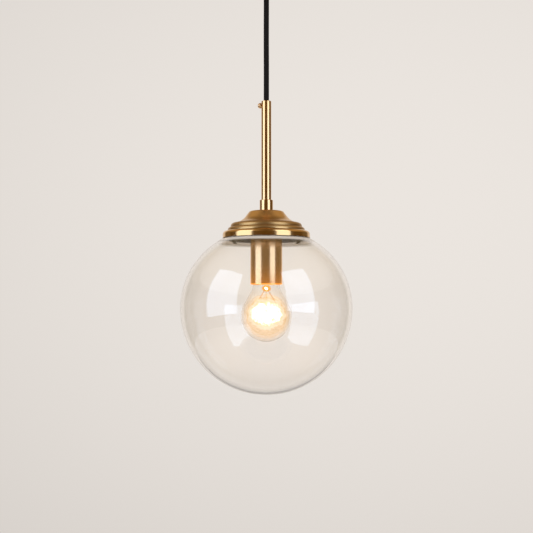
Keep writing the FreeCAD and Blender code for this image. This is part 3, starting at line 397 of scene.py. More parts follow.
def soft_light(name, cool, hot, strength, density, streaks):
    """A painted veil of light, uneven in its own grain; streaks says by how much."""
    material, build = new_material(name)
    grain = build.noise(build.place(), 420.0, 3.0, 0.6)
    light = only_light(build, build.mix(grain, cool, hot), strength)
    clear = build.out("ShaderNodeBsdfTransparent", 0, None, Color=WHITE)
    weight = build.clamp(density + (grain - 0.5) * density * streaks)
    finish_material(build, build.out("ShaderNodeMixShader", 0, None, Fac=weight, _1=clear, _2=light))
    return material


LAMP_HEART = (foot_of("filament") + top_of("filament")) / 2
PRESS_HEIGHT = -0.3950      # where the bulb's stem is pressed flat round its wires

satin_brass = turned_metal("satin_brass", (0.89, 0.57, 0.30, 1.0), (0.83, 0.51, 0.22, 1.0), polish=0.11,
                           satin=0.28)
# cap_brass: its inside is painted dark, as painted shade.
cap_brass = turned_metal("cap_brass", (0.80, 0.51, 0.235, 1.0), (0.73, 0.44, 0.175, 1.0), polish=0.13,
                         satin=0.25, satin_above=CAP_TOP - 0.0231, dull_below=CAP_TOP - 0.0128,
                         unlit=(0.10, 0.07, 0.05, 1.0))
# cup_brass: its lower edge carries a painted glow for the bulb's light.
cup_brass = turned_metal("cup_brass", (0.82, 0.53, 0.30, 1.0), (0.76, 0.475, 0.25, 1.0), polish=0.185,
                         satin=0.35, lit_edge=foot_of("holder_cup"))
plain_brass = turned_metal("plain_brass", (0.74, 0.56, 0.28, 1.0), (0.60, 0.43, 0.20, 1.0), polish=0.28,
                           satin=0.45)
zinc_plate = plated_steel("zinc_plate", (0.62, 0.62, 0.60, 1.0), roughness=0.32)
# dark_strip and spring_strip are painted dark, as painted shade: the clip plate, its rivets and the spring
# clips sit in the shade inside the cap.
dark_strip = plated_steel("dark_strip", (0.16, 0.15, 0.14, 1.0), roughness=0.38)
spring_strip = plated_steel("spring_strip", (0.24, 0.22, 0.21, 1.0), roughness=0.30)
lamp_cap_metal = plated_steel("lamp_cap_metal", (0.74, 0.70, 0.62, 1.0), roughness=0.30)
nylon = moulded("nylon", (0.80, 0.79, 0.75, 1.0), roughness=0.45)
block_plastic = moulded("block_plastic", (0.84, 0.83, 0.78, 1.0), roughness=0.5)
core_sleeve = moulded("core_sleeve", (0.16, 0.08, 0.04, 1.0), roughness=0.3, coat=0.3)
dark_rubber = moulded("dark_rubber", (0.035, 0.033, 0.03, 1.0), roughness=0.7)
holder_resin = moulded("holder_resin", (0.07, 0.05, 0.04, 1.0), roughness=0.35, coat=0.4)
black_glass = moulded("black_glass", (0.01, 0.01, 0.012, 1.0), roughness=0.12, coat=0.8)
# globe_glass: the pale ring under the cap is a painted reflection.
globe_glass = glass_with_painted_ring("globe_glass", (0.99, 0.995, 0.985, 1.0), ior=1.52, low=foot_of("cap") - 0.0055,
                           high=foot_of("cap") - 0.0010, painted_light_share=0.74)
# bulb_glass and mount_glass carry a painted glow for the filament's light on them.
bulb_glass = lit_glass("bulb_glass", (1.0, 0.99, 0.97, 1.0), ior=1.14, glow=(1.19, 0.56, 0.04, 1.0),
                       most=0.03, middle=LAMP_HEART - 0.0060, near=0.0295, far=0.0365)
mount_glass = lit_glass("mount_glass", (1.0, 0.97, 0.93, 1.0), ior=1.45, glow=(1.3, 0.80, 0.35, 1.0),
                        most=0.25, middle=LAMP_HEART, near=0.012, far=0.045)
textile = woven_sleeve("textile", thread=colour(35, 30, 26), gap=colour(15, 12, 10))
hot_wire = glowing("hot_wire", (1.0, 0.72, 0.42, 1.0), (1.0, 0.86, 0.62, 1.0), strength=40.0)
# The heart, the rays and the veils below are painted glare round the filament.
painted_glow_core = glowing("painted_glow_core", (1.0, 0.66, 0.34, 1.0), (1.0, 0.78, 0.50, 1.0), strength=8.0)
golden_rays = glowing("golden_rays", (1.0, 0.66, 0.24, 1.0), (1.0, 0.92, 0.66, 1.0), strength=1.15)
# press_glow and lit_wire: painted glow for the filament's light on the stem's press and the lead wires.
press_glow = glowing("press_glow", (1.0, 0.36, 0.05, 1.0), (1.0, 0.55, 0.16, 1.0), strength=1.1)
lit_wire = glowing("lit_wire", (0.80, 0.26, 0.04, 1.0), (0.95, 0.42, 0.12, 1.0), strength=1.0)
bright_veil = soft_light("bright_veil", (1.0, 0.84, 0.56, 1.0), (1.0, 0.97, 0.90, 1.0), strength=1.15,
                         density=0.55, streaks=2.4)
warm_veil = soft_light("warm_veil", (1.0, 0.50, 0.09, 1.0), (1.0, 0.57, 0.15, 1.0), strength=1.20,
                       density=0.105, streaks=0.6)

# --- meshes -----------------------------------------------------------------------------------------------

ROUND_STEPS = 6             # along an eased corner
ROLL_STEPS = 12             # along a rolled ridge
ON_AXIS = 1e-7              # a point nearer the axis than this lies on it


def add_piece(name, mesh, material):
    piece = bpy.data.objects.new(name, mesh)
    scene.collection.objects.link(piece)
    mesh.materials.clear()
    mesh.materials.append(material)
    return piece


def swept(centre, first, last, steps):
    """Points from one end of an arc to the other, given from its centre."""
    sweep = first.angle_signed(last)
    points = []
    for step in range(steps + 1):
        turn = -sweep * step / steps
        points.append(centre + Vector((first.x * math.cos(turn) - first.y * math.sin(turn),
                                       first.x * math.sin(turn) + first.y * math.cos(turn))))
    return points


def eased(corners, closed):
    """The outline with each corner (r, z, rounding) replaced by an arc."""
    points = []
    count = len(corners)
    for i, corner in enumerate(corners):
        here = Vector(corner[:2])
        rounding = corner[2] if len(corner) > 2 else 0.0
        if rounding <= 0.0 or (not closed and i in (0, count - 1)):
            points.append(here)
            continue
        back = Vector(corners[i - 1][:2]) - here
        ahead = Vector(corners[(i + 1) % count][:2]) - here
        angle = back.angle(ahead)
        cut = min(rounding / math.tan(angle / 2), back.length * 0.49, ahead.length * 0.49)
        radius = cut * math.tan(angle / 2)
        centre = here + (back.normalized() + ahead.normalized()).normalized() * (radius / math.sin(angle / 2))
        first = here + back.normalized() * cut - centre
        last = here + ahead.normalized() * cut - centre
        points += swept(centre, first, last, ROUND_STEPS)
    return points


def rolled(corners):
    """An open outline in metres from corners in millimetres.

    A corner is (r, z), or (r, z, turn, radius) where an arc leaves it.
    """
    points = []
    for corner, after in zip(corners, corners[1:] + corners[-1:]):
        start, end = Vector(corner[:2]) * MM, Vector(after[:2]) * MM
        if len(corner) < 4:
            points.append(start)
            continue
        chord = end - start
        radius = corner[3] * MM
        rise = math.sqrt(max(radius ** 2 - (chord.length / 2) ** 2, 0.0))
        left = Vector((-chord.y, chord.x)).normalized()
        centre = (start + end) / 2 + left * (rise if corner[2] == "left" else -rise)
        points += swept(centre, start - centre, end - centre, ROLL_STEPS)[:-1]
    return points


def arc_points(centre, radius, start, end, steps):
    """Points on an arc in the (r, z) plane, angles in degrees from +r."""
    angles = [math.radians(start + (end - start) * i / steps) for i in range(steps + 1)]
    return [(centre[0] + radius * math.cos(a), centre[1] + radius * math.sin(a)) for a in angles]


def lathe(name, outline, material, closed=False, segments=160, crease=40.0, inner=0):
    """A turned piece from an outline of (r, z). Its ends lie on the axis, or the outline is closed.

    The first few points, as many as inner says, are its inside.
    """
    sheet = bmesh.new()
    rings = []
    for r, z in outline:
        if r < ON_AXIS:
            rings.append([sheet.verts.new((0.0, 0.0, z))])
            continue
        rings.append([sheet.verts.new((r * math.cos(FULL_TURN * k / segments),
                                       r * math.sin(FULL_TURN * k / segments), z))
                      for k in range(segments)])
    pairs = list(zip(rings, rings[1:]))
    if closed:
        pairs.append((rings[-1], rings[0]))
    for low, high in pairs:
        for k in range(segments):
            after = (k + 1) % segments
            if len(low) == 1 and len(high) == 1:
                continue
            if len(low) == 1:
                sheet.faces.new((low[0], high[after], high[k]))
            elif len(high) == 1:
                sheet.faces.new((low[k], low[after], high[0]))
            else:
                sheet.faces.new((low[k], low[after], high[after], high[k]))
    bmesh.ops.recalc_face_normals(sheet, faces=sheet.faces)
    mesh = bpy.data.meshes.new(name)
    sheet.to_mesh(mesh)
    sheet.free()
    if inner:
        inside = mesh.attributes.new("inside", "FLOAT", "POINT")
        for ring, r in enumerate(outline):
            for k in range(segments):
                inside.data[ring * segments + k].value = 1.0 if ring < inner else 0.0
    mesh.shade_smooth()
    mesh.set_sharp_from_angle(angle=math.radians(crease))
    return add_piece(name, mesh, material)


def ring_piece(name, corners, material, **options):
    return lathe(name, [tuple(p) for p in eased(corners, True)], material, closed=True, **options)


def stands_for(piece, body, slot, *nodes):
    """The piece moves with a body and replaces CAD nodes. Its slot is not used."""
    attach(piece, body)
    if nodes:
        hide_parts(*nodes)


# --- geometry node trees ----------------------------------------------------------------------------------


class Tree:
    """A geometry node tree with named inputs."""

    def __init__(self, name, inputs):
        self.group = bpy.data.node_groups.new(name, "GeometryNodeTree")
        self.group.is_modifier = True
        self.ids = {}
        self.group.interface.new_socket("Geometry", in_out="INPUT", socket_type="NodeSocketGeometry")
        for label, kind, value in inputs:
            item = self.group.interface.new_socket(label, in_out="INPUT", socket_type="NodeSocket" + kind)
            if value is not None:
                item.default_value = value
            self.ids[label] = item.identifier
        self.group.interface.new_socket("Geometry", in_out="OUTPUT", socket_type="NodeSocketGeometry")
        self.entry = self.group.nodes.new("NodeGroupInput")
        self.exit = self.group.nodes.new("NodeGroupOutput")

    def node(self, kind, settings=None, **sockets):
        made = self.group.nodes.new(kind)
        for name, value in (settings or {}).items():
            setattr(made, name, value)
        for name, value in sockets.items():
            target = made.inputs[int(name[1:])] if name[0] == "_" else made.inputs[name.replace("_", " ")]
            if isinstance(value, bpy.types.NodeSocket):
                self.group.links.new(value, target)
            else:
                target.default_value = value
        return made

    def take(self, label):
        return self.entry.outputs[label]

    def math(self, operation, a, b=0.0):
        return self.node("ShaderNodeMath", {"operation": operation}, _0=a, _1=b).outputs[0]

    def times(self, a, b):
        return self.math("MULTIPLY", a, b)

    def vector(self, operation, a, b=None, scale=None):
        made = self.node("ShaderNodeVectorMath", {"operation": operation}, _0=a)
        if b is not None:
            self.group.links.new(b, made.inputs[1])
        if scale is not None:
            self.group.links.new(scale, made.inputs["Scale"])
        return made.outputs[0]

    def close(self, geometry, material):
        real = self.node("GeometryNodeRealizeInstances", None, Geometry=geometry)
        dressed = self.node("GeometryNodeSetMaterial", None, Geometry=real.outputs[0])
        dressed.inputs["Material"].default_value = material
        self.group.links.new(dressed.outputs[0], self.exit.inputs[0])

    def mesh_from(self, holder, name, values):
        """Runs the tree on an object, takes the result as a plain mesh and deletes the object."""
        modifier = holder.modifiers.new("shape", "NODES")
        modifier.node_group = self.group
        for label, value in values.items():
            modifier[self.ids[label]] = value
        bpy.context.view_layer.update()
        graph = bpy.context.evaluated_depsgraph_get()
        mesh = bpy.data.meshes.new_from_object(holder.evaluated_get(graph))
        mesh.name = name
        holder.modifiers.remove(modifier)
        bpy.data.objects.remove(holder)
        return mesh


def curve_holder(name, points):
    """A bare smooth curve drawn towards the points, from the first to the last."""
    data = bpy.data.curves.new(name, "CURVE")
    data.dimensions = "3D"
    spline = data.splines.new("NURBS")
    spline.points.add(len(points) - 1)
    for control, where in zip(spline.points, points):
        control.co = (*where, 1.0)
    spline.order_u = 3
    spline.use_endpoint_u = True
    spline.resolution_u = 12
    holder = bpy.data.objects.new(name, data)
    scene.collection.objects.link(holder)
    return holder


SLEEVE_RINGS, SLEEVE_SIDES = 520, 72
COIL_RINGS, COIL_SIDES = 900, 6
NEEDLE_SIDES = 5


def sleeve_tree():
    """A plaited sleeve along a curve: a fine tube whose surface rises over each crossing thread."""
    tree = Tree("plaited_sleeve", [("Radius", "Float", 0.003), ("Threads", "Float", 12.0),
                                   ("Lay", "Float", 0.012), ("Relief", "Float", 0.00012)])
    fine = tree.node("GeometryNodeResampleCurve", None, Curve=tree.take("Geometry"))
    fine.inputs["Count"].default_value = SLEEVE_RINGS
    length = tree.node("GeometryNodeSplineParameter").outputs["Length"]
    kept = tree.node("GeometryNodeCaptureAttribute", {"domain": "POINT"}, Geometry=fine.outputs[0])
    kept.capture_items.new("FLOAT", "along")
    tree.group.links.new(length, kept.inputs["along"])
    ring = tree.node("GeometryNodeCurvePrimitiveCircle", {"mode": "RADIUS"}, Radius=tree.take("Radius"))
    ring.inputs["Resolution"].default_value = SLEEVE_SIDES
    factor = tree.node("GeometryNodeSplineParameter").outputs["Factor"]
    turned = tree.node("GeometryNodeCaptureAttribute", {"domain": "POINT"}, Geometry=ring.outputs[0])
    turned.capture_items.new("FLOAT", "around")
    tree.group.links.new(factor, turned.inputs["around"])
    tube = tree.node("GeometryNodeCurveToMesh", None, Curve=kept.outputs[0], Profile_Curve=turned.outputs[0])
    tube.inputs["Fill Caps"].default_value = True
    around, along = turned.outputs["around"], kept.outputs["along"]
    strands = tree.times(around, tree.take("Threads"))
    drift = tree.times(tree.math("DIVIDE", along, tree.take("Lay")), tree.take("Threads"))
    one = tree.math("SINE", tree.times(tree.math("ADD", strands, drift), FULL_TURN))
    two = tree.math("SINE", tree.times(tree.math("SUBTRACT", strands, drift), FULL_TURN))
    rise = tree.times(tree.times(one, two), tree.take("Relief"))
    normal = tree.node("GeometryNodeInputNormal").outputs[0]
    offset = tree.vector("SCALE", normal, scale=rise)
    moved = tree.node("GeometryNodeSetPosition", None, Geometry=tube.outputs[0], Offset=offset)
    uv = tree.node("ShaderNodeCombineXYZ", None, X=around, Y=along).outputs[0]
    named = tree.node("GeometryNodeStoreNamedAttribute", {"data_type": "FLOAT2", "domain": "CORNER"},
                      Geometry=moved.outputs[0], Name="sleeve_uv", Value=uv)
    tree.close(named.outputs[0], textile)
    return tree


def coil_tree():
    """A wire coil wound along a curve."""
    tree = Tree("wire_coil", [("Coil radius", "Float", 0.0005), ("Turns", "Float", 40.0),
                              ("Wire radius", "Float", 0.0001)])
    fine = tree.node("GeometryNodeResampleCurve", None, Curve=tree.take("Geometry"))
    fine.inputs["Count"].default_value = COIL_RINGS
    factor = tree.node("GeometryNodeSplineParameter").outputs["Factor"]
    turn = tree.times(tree.times(factor, tree.take("Turns")), FULL_TURN)
    tangent = tree.node("GeometryNodeInputTangent").outputs[0]
    normal = tree.node("GeometryNodeInputNormal").outputs[0]
    side = tree.vector("CROSS_PRODUCT", tangent, normal)
    reach = tree.take("Coil radius")
    first = tree.vector("SCALE", normal, scale=tree.times(tree.math("COSINE", turn), reach))
    second = tree.vector("SCALE", side, scale=tree.times(tree.math("SINE", turn), reach))
    wound = tree.node("GeometryNodeSetPosition", None, Geometry=fine.outputs[0],
                      Offset=tree.vector("ADD", first, second))
    wire = tree.node("GeometryNodeCurvePrimitiveCircle", {"mode": "RADIUS"}, Radius=tree.take("Wire radius"))
    wire.inputs["Resolution"].default_value = COIL_SIDES
    tube = tree.node("GeometryNodeCurveToMesh", None, Curve=wound.outputs[0], Profile_Curve=wire.outputs[0])
    tube.inputs["Fill Caps"].default_value = True
    tree.close(tube.outputs[0], hot_wire)
    return tree


# --- cable ------------------------------------------------------------------------------------------------

CABLE_RADIUS = radius_of("cable")
SLEEVE_INSET = 0.00006      # the sleeve's middle surface lies this far inside the cable's
# The route, from the cord clamp down to the stem's mouth, all but straight under the lamp's weight.
CABLE_ROUTE = [(0.0, 0.0, -0.014), (0.0001, 0.0, -0.055), (-0.0001, 0.0001, -0.098), (0.0001, 0.0, -0.140),
               (0.0, 0.0, -0.1762)]


def cable():
    """The plaited cable, one sleeve along its route."""
    holder = curve_holder("cable_route", CABLE_ROUTE)
    bare = bpy.data.meshes.new_from_object(holder)
    bpy.data.meshes.remove(bare)
    mesh = sleeve_tree().mesh_from(holder, "textile_cable", {"Radius": CABLE_RADIUS - SLEEVE_INSET})
    mesh.shade_smooth()
    piece = add_piece("textile_cable", mesh, textile)
    stands_for(piece, "ceiling", "textile_cable", "cable")


cable()

# --- brass ------------------------------------------------------------------------------------------------

BORE = 0.0041               # of the tubes that the cable goes through
SHANK = 0.005               # half an M10 thread, and the holes it fills


def stem():
    """Stem tube with an eased mouth; its thread is hidden in the cap."""
    outer, foot = radius_of("stem_tube"), foot_of("stem_tube")
    stands_for(ring_piece("stem", [
        (BORE, foot), (SHANK, foot, 0.0003), (SHANK, CAP_TOP), (outer, CAP_TOP),
        (outer, STEM_MOUTH, 0.0004), (BORE, STEM_MOUTH, 0.0003),
    ], satin_brass, segments=128), "lamp", "brushed_brass", "stem_tube")


def collar():
    """Turned collar on the cap."""
    low, high = foot_of("stem_collar"), top_of("stem_collar")
    outer, inner = radius_of("stem_collar"), radius_of("stem_tube")
    stands_for(ring_piece("collar", [
        (inner, low), (outer, low, 0.0003), (outer, high, 0.0006), (inner, high),
    ], satin_brass, segments=128), "lamp", "brushed_brass", "stem_collar")


def cap():
    """The spun cap in 1 mm sheet: flat top, flaring cone, two rolled ridges and the rim band."""
    wall, edge, flare = 1.0, 2.9, 19.5
    rim, foot = radius_of("cap") / MM, (foot_of("cap") - CAP_TOP) / MM
    lean = math.atan2(24.8 - 20.9, 7.1 - 1.9)
    across, down = wall * math.cos(lean), wall * math.sin(lean)
    inside = rolled([
        (5.0, -wall), (18.0, -wall, "right", edge), (20.9 - across, -1.9 - down),
        (24.8 - across, -7.1 - down, "left", flare + wall), (37.5, -13.9 - wall, "right", 4.2 - wall),
        (41.7 - wall, -18.1), (41.7 - wall, -19.0 - wall), (41.7, -19.0 - wall, "right", 3.4 - wall),
        (45.0 - wall, -22.4), (45.0 - wall, -23.4 - wall), (46.8, -23.4 - wall, "right", 4.2 - wall),
        (rim - wall, -27.4), (rim - wall, foot),
    ])
    outside = rolled([
        (rim, foot), (rim, -27.4, "left", 4.2), (46.8, -23.4), (45.0, -23.4), (45.0, -22.4, "left", 3.4),
        (41.7, -19.0), (41.7, -18.1, "left", 4.2), (37.5, -13.9, "right", flare), (24.8, -7.1),
        (20.9, -1.9, "left", edge + wall), (18.0, 0.0), (5.0, 0.0),
    ])
    outline = [(r, z + CAP_TOP) for r, z in inside + outside]
    piece = lathe("spun_cap", outline, cap_brass, closed=True, segments=224, inner=len(inside))
    stands_for(piece, "lamp", "brushed_brass", "cap")


def cup():
    """Drawn brass cup round the lampholder."""
    low, high = foot_of("holder_cup"), top_of("holder_cup")
    outer, wall = radius_of("holder_cup"), 0.0008
    stands_for(ring_piece("lampholder_cup", [
        (SHANK, high - wall), (outer - wall, high - wall, 0.0012), (outer - wall, low, 0.00025),
        (outer, low, 0.00035), (outer, high, 0.002), (SHANK, high),
    ], cup_brass, segments=160), "lamp", "brushed_brass", "holder_cup")


def canopy():
    """Ceiling canopy and its cable neck."""
    outer, wall = radius_of("canopy"), 0.001
    low = foot_of("canopy")
    stands_for(ring_piece("ceiling_canopy", [
        (SHANK, low), (outer, low, 0.012), (outer, 0.0, 0.0003), (outer - wall, 0.0, 0.0003),
        (outer - wall, low + wall, 0.011), (SHANK, low + wall),
    ], satin_brass, segments=192), "canopy", "brushed_brass", "canopy")
    neck_low, neck_high = foot_of("canopy_neck"), top_of("canopy_neck")
    tube = radius_of("canopy_neck")
    stands_for(ring_piece("cable_neck", [
        (BORE, neck_low, 0.0003), (tube, neck_low, 0.0004), (tube, low), (SHANK, low),
        (SHANK, neck_high, 0.0003), (BORE, neck_high),
    ], satin_brass, segments=96), "canopy", "brushed_brass", "canopy_neck")


for make in (stem, collar, cap, cup, canopy):
    make()

# --- glass ------------------------------------------------------------------------------------------------


def globe():
    """Blown globe, 2.5 mm glass, a little flatter above its widest ring, with a short fire-polished lip."""
    shoulder, wall, lip, rim_round = 0.0084, 0.0025, 0.0465, 0.0012
    top = top_of("globe") - GLOBE_CENTRE
    big, upper = GLOBE_RADIUS, GLOBE_RADIUS - shoulder
    belly_steps, brow_steps, rim_steps = 56, 34, 5
    outer_end = math.degrees(math.acos((lip - shoulder) / upper))
    inner_end = math.degrees(math.acos((lip - wall - shoulder) / (upper - wall)))
    outline = arc_points((0, 0), big, -90, 0, belly_steps)
    outline += arc_points((shoulder, 0), upper, 0, outer_end, brow_steps)[1:]
    outline += arc_points((lip - rim_round, top - rim_round), rim_round, 0, 90, rim_steps)
    outline += arc_points((lip - wall + rim_round, top - rim_round), rim_round, 90, 180, rim_steps)
    outline += arc_points((shoulder, 0), upper - wall, inner_end, 0, brow_steps)
    outline += arc_points((0, 0), big - wall, 0, -90, belly_steps)[1:]
    outline = [(max(r, 0.0), z + GLOBE_CENTRE) for r, z in outline]
    piece = lathe("glass_globe", outline, globe_glass, segments=192, crease=80.0)
    stands_for(piece, "globe", "clear_glass", "globe")


BALL_RADIUS = 0.0295
BULB_CENTRE = foot_of("bulb_envelope") + BALL_RADIUS


def bulb():
    """Clear envelope: ball, drawn-in cone and neck, thin glass."""
    wall, rounding = 0.0006, 0.004
    tangent, ball_steps = 28.1, 44

    def skin(inset):
        ball = arc_points((0, 0), BALL_RADIUS - inset, -90, tangent, ball_steps)
        waist = (0.018 - inset * 0.88, 0.0286 - inset * 0.47)
        neck = (0.0156 - inset, 0.0366)
        seal = (0.0131 - inset, 0.0475)
        middle = ((waist[0] + neck[0]) / 2 - 0.0004, (waist[1] + neck[1]) / 2)
        return ball + [waist, middle, neck, (0.0150 - inset, 0.0430), seal, (0.0126 - inset, 0.0502)]

    outer, inner = (eased([(r, z, rounding) for r, z in skin(inset)], False) for inset in (0.0, wall))
    outline = [(max(r, 0.0), z + BULB_CENTRE) for r, z in outer + inner[::-1]]
    piece = lathe("bulb_glass_envelope", outline, bulb_glass, segments=144, crease=60.0)
    stands_for(piece, "bulb", "bulb_glass", "bulb_envelope")


def filament():
    """A fine coil hung in an arc from the two lead-in wires."""
    low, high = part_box("filament")
    ends, rise = high[0] - 0.0006, high[2] - 0.0004
    elbow, sag = low[2] + 0.0014, low[2] + 0.0004
    holder = curve_holder("filament_route", [(-ends, 0, rise), (-ends * 0.6, 0, elbow), (0, 0, sag),
                                             (ends * 0.6, 0, elbow), (ends, 0, rise)])
    mesh = coil_tree().mesh_from(holder, "filament_coil",
                                 {"Coil radius": 0.00045, "Turns": 46.0, "Wire radius": 0.00012})
    piece = add_piece("filament_coil", mesh, hot_wire)
    stands_for(piece, "bulb", "filament_wire", "filament")


def lumpy_ball(name, size, lumps, drop):
    """A closed uneven ball, three half sizes in metres, so far below the middle of the filament."""
    middle = Vector((0.0, 0.0, LAMP_HEART - drop))
    shell = bmesh.new()
    bmesh.ops.create_icosphere(shell, subdivisions=5, radius=1.0)
    for vert in shell.verts:
        way = vert.co.normalized()
        reach = 1.0 + lumps * noise.fractal(way * 3.0, 0.7, 2.0, 4)
        vert.co = middle + Vector((way.x * size[0], way.y * size[1], way.z * size[2])) * reach
    mesh = bpy.data.meshes.new(name)
    shell.to_mesh(mesh)
    shell.free()
    mesh.shade_smooth()
    return mesh


def ray_tree():
    """Fine rays of light standing on a ball's upper and lower side, as needles of uneven length."""
    tree = Tree("light_rays", [("Needles", "Float", 300000.0), ("Radius", "Float", 0.00045),
                               ("Length", "Float", 0.0062), ("Seed", "Int", 7)])
    normal = tree.node("ShaderNodeSeparateXYZ", None, _0=tree.node("GeometryNodeInputNormal").outputs[0])
    steep = 0.55
    upright = tree.math("GREATER_THAN", tree.math("ABSOLUTE", normal.outputs[2]), steep)
    spots = tree.node("GeometryNodeDistributePointsOnFaces", None, Mesh=tree.take("Geometry"),
                      Selection=upright, Density=tree.take("Needles"), Seed=tree.take("Seed"))
    needle = tree.node("GeometryNodeMeshCone", None, Radius_Bottom=tree.take("Radius"),
                       Depth=tree.take("Length"))
    needle.inputs["Vertices"].default_value = NEEDLE_SIDES
    shortest, longest = 0.15, 1.0
    spread = tree.node("FunctionNodeRandomValue", {"data_type": "FLOAT"}, _2=shortest, _3=longest)
    placed = tree.node("GeometryNodeInstanceOnPoints", None, Points=spots.outputs["Points"],
                       Instance=needle.outputs["Mesh"], Rotation=spots.outputs["Rotation"],
                       Scale=spread.outputs[1])
    tree.close(placed.outputs[0], golden_rays)
    return tree


def glare():
    """The painted glare round the filament: a bright heart, its rays and three veils, and a painted glow on
    the end of the stem.
    """
    heart = (0.0162, 0.0135, 0.0122), 0.22, 0.0034
    pieces = [add_piece("light_heart", lumpy_ball("light_heart", *heart), painted_glow_core)]
    holder = bpy.data.objects.new("ray_roots", lumpy_ball("ray_roots", *heart))
    scene.collection.objects.link(holder)
    rays = ray_tree().mesh_from(holder, "light_rays", {"Seed": 7})
    pieces.append(add_piece("light_rays", rays, golden_rays))
    to_ball, to_press = LAMP_HEART - BULB_CENTRE, LAMP_HEART - PRESS_HEIGHT
    for name, light, size, lumps, drop in (
            ("bright_veil", bright_veil, (0.0200, 0.0165, 0.0168), 0.22, 0.0038),
            ("warm_veil", warm_veil, (0.0264, 0.0250, 0.0256), 0.03, to_ball),
            ("inner_veil", warm_veil, (0.0232, 0.0220, 0.0222), 0.07, to_ball),
            ("lit_bead", painted_glow_core, (0.0021, 0.0021, 0.0017), 0.2, to_press),
            ("lit_press", press_glow, (0.0043, 0.0016, 0.0029), 0.5, to_press)):
        pieces.append(add_piece(name, lumpy_ball(name, size, lumps, drop), light))
    for piece in pieces:
        stands_for(piece, "bulb", "filament_wire")


for make in (globe, bulb, filament, glare):
    make()

# --- finishes of the CAD nodes that show as they are ------------------------------------------------------

FINISHES = (
    (zinc_plate, "ceiling_bracket clamp_screws holder_washer"),
    (dark_strip, "clip_plate clip_rivets"),
    (spring_strip, "spring_clip_1 spring_clip_2 spring_clip_3"),
    (nylon, "cord_clamp canopy_grip_pad grip_pad cable_bush"),
    (block_plastic, "terminal_block"),
    (core_sleeve, "mains_cores lamp_cores"),
    (dark_rubber, "rim_gasket cable_tail"),
    (holder_resin, "holder_cap holder_disc holder_sleeve"),
    (black_glass, "bulb_insulator"),
    (lamp_cap_metal, "bulb_cap bulb_contact"),
    # mount_glass and lit_wire carry a painted glow for the filament's light.
    (mount_glass, "bulb_stem"),
    (lit_wire, "lead_wires filament_supports"),
    (satin_brass, "grip_screw canopy_grip_screw"),
    (plain_brass, "canopy_nut holder_nut spacer_tube screw_shell centre_contact holder_terminals"
                  " terminal_screws holder_screws"),
)


def dress_nodes():
    for material, names in FINISHES:
        for name in names.split():
            mesh = frame["nodes"][name].data
            mesh.materials.clear()
            mesh.materials.append(material)


dress_nodes()

# --- room and light ---------------------------------------------------------------------------------------


def floor():
    """Pale round floor under the lamp, well below the view."""
    reach, corners, drop = 3.0, 120, 1.0
    level = cad_box[0][2] - drop
    turns = [FULL_TURN * i / corners for i in range(corners)]
    mesh = bpy.data.meshes.new("floor")
    mesh.from_pydata([(reach * math.cos(a), reach * math.sin(a), level) for a in turns], [],
                     [tuple(range(corners))])
    material, build = new_material("pale_floor")
    cloud = build.noise(build.place(), 3.0, 3.0)
    tint = build.mix(cloud, colour(214, 207, 200), colour(222, 215, 208))
    finish_material(build, build.out("ShaderNodeBsdfPrincipled", 0, None, Base_Color=tint, Roughness=0.9))
    add_piece("floor", mesh, material)


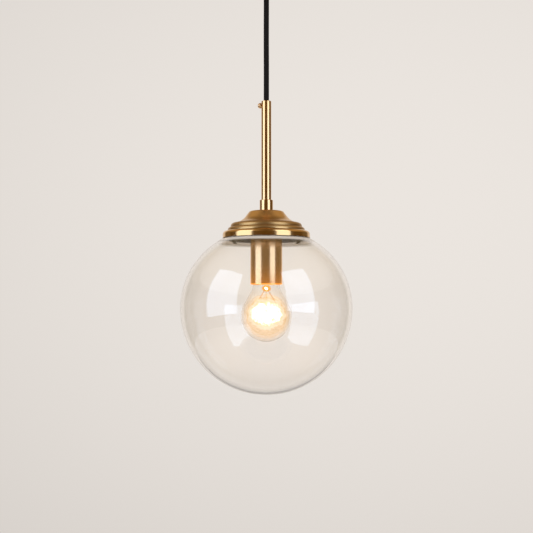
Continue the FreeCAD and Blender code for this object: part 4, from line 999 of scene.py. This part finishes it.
def world():
    """A pale wall all round, which clear glass shows too.

    Metal mirrors the studio's dim sides and ceiling as well, and it does so behind glass too.
    """
    room = bpy.data.worlds.new("studio")
    room.use_nodes = True
    scene.world = room
    build = Build(room.node_tree)
    x, y, z = build.axes(build.out("ShaderNodeTexCoord", "Generated"))
    # The wall is brightest a little to the right of the lamp and above it.
    aside, above = x - 0.15, z - 0.12
    away = build.clamp((aside * aside * 0.7 + above * above * 1.4) * 3.0)
    wall = build.mix(away, colour(235, 229, 223), colour(214, 208, 202))
    wall_in_glass = build.mix(away, (0.92, 0.83, 0.755, 1.0), (0.84, 0.76, 0.69, 1.0))
    # What metal mirrors: dim sides, a ceiling that is brighter out to left and right, and the wall beyond.
    side = build.mix(build.ramp(y, 0.28, 9.0), (0.118, 0.068, 0.012, 1.0), (0.18, 0.135, 0.07, 1.0))
    ceiling = build.mix(build.clamp(x * x * 4.0), (0.155, 0.100, 0.040, 1.0), (0.50, 0.36, 0.18, 1.0))
    dim = build.mix(build.ramp(z, 0.25, 3.0), side, ceiling)
    studio = build.mix(build.ramp(y, 0.70, 9.0), dim, (0.80, 0.74, 0.68, 1.0))
    studio_in_glass = build.mix(build.ramp(y, 0.66, 4.5), dim, wall_in_glass)
    path = build.node("ShaderNodeLightPath")
    off_metal = build.clamp(Socket(build, path.outputs["Glossy Depth"]))
    behind_glass = build.mix(off_metal, wall_in_glass, studio_in_glass)
    shader = build.out("ShaderNodeBackground", 0, None, Color=(0.62, 0.60, 0.57, 1.0), Strength=1.0)
    for ray, seen in (("Glossy", studio), ("Transmission", behind_glass), ("Camera", wall)):
        other = build.out("ShaderNodeBackground", 0, None, Color=seen, Strength=1.0)
        taken = Socket(build, path.outputs["Is " + ray + " Ray"])
        shader = build.out("ShaderNodeMixShader", 0, None, Fac=taken, _1=shader, _2=other)
    build.node("ShaderNodeOutputWorld", None, Surface=shader)


SOFTBOX_RADIANCE = 1.9
SOFTBOX_DISTANCE = 2.2      # from the middle of the globe
SOFTBOX_TINT = (0.77, 0.97, 1.28)


def softbox(name, azimuth, elevation, tip, roll, width, height):
    """An oblong diffuser beside the globe. Azimuth 0 is the camera's side, positive to the right.

    It stands nearly upright: tip is how far its face looks down, roll turns it in its own plane.
    """
    data = bpy.data.lights.new(name, "AREA")
    data.shape = "RECTANGLE"
    data.size, data.size_y = width, height
    data.energy = math.pi * width * height * SOFTBOX_RADIANCE
    data.color = SOFTBOX_TINT
    lamp = bpy.data.objects.new(name, data)
    scene.collection.objects.link(lamp)
    turn = math.radians(azimuth)

    def away(rise):
        """The way out from the globe on that side, at an angle above the level."""
        lift = math.radians(rise)
        return Vector((math.sin(turn) * math.cos(lift), -math.cos(turn) * math.cos(lift), math.sin(lift)))

    lamp.location = Vector((0.0, 0.0, GLOBE_CENTRE)) + away(elevation) * SOFTBOX_DISTANCE
    upright = (-away(tip)).to_track_quat("-Z", "Y")
    lamp.rotation_euler = (upright @ Quaternion((0.0, 0.0, 1.0), math.radians(roll))).to_euler()


floor()
world()
softbox("left_softbox", azimuth=-61.8, elevation=23.8, tip=4.0, roll=3.9, width=1.72, height=2.34)
softbox("right_softbox", azimuth=46.6, elevation=27.2, tip=11.0, roll=-3.2, width=1.46, height=2.38)

scene.view_settings.view_transform = "Standard"
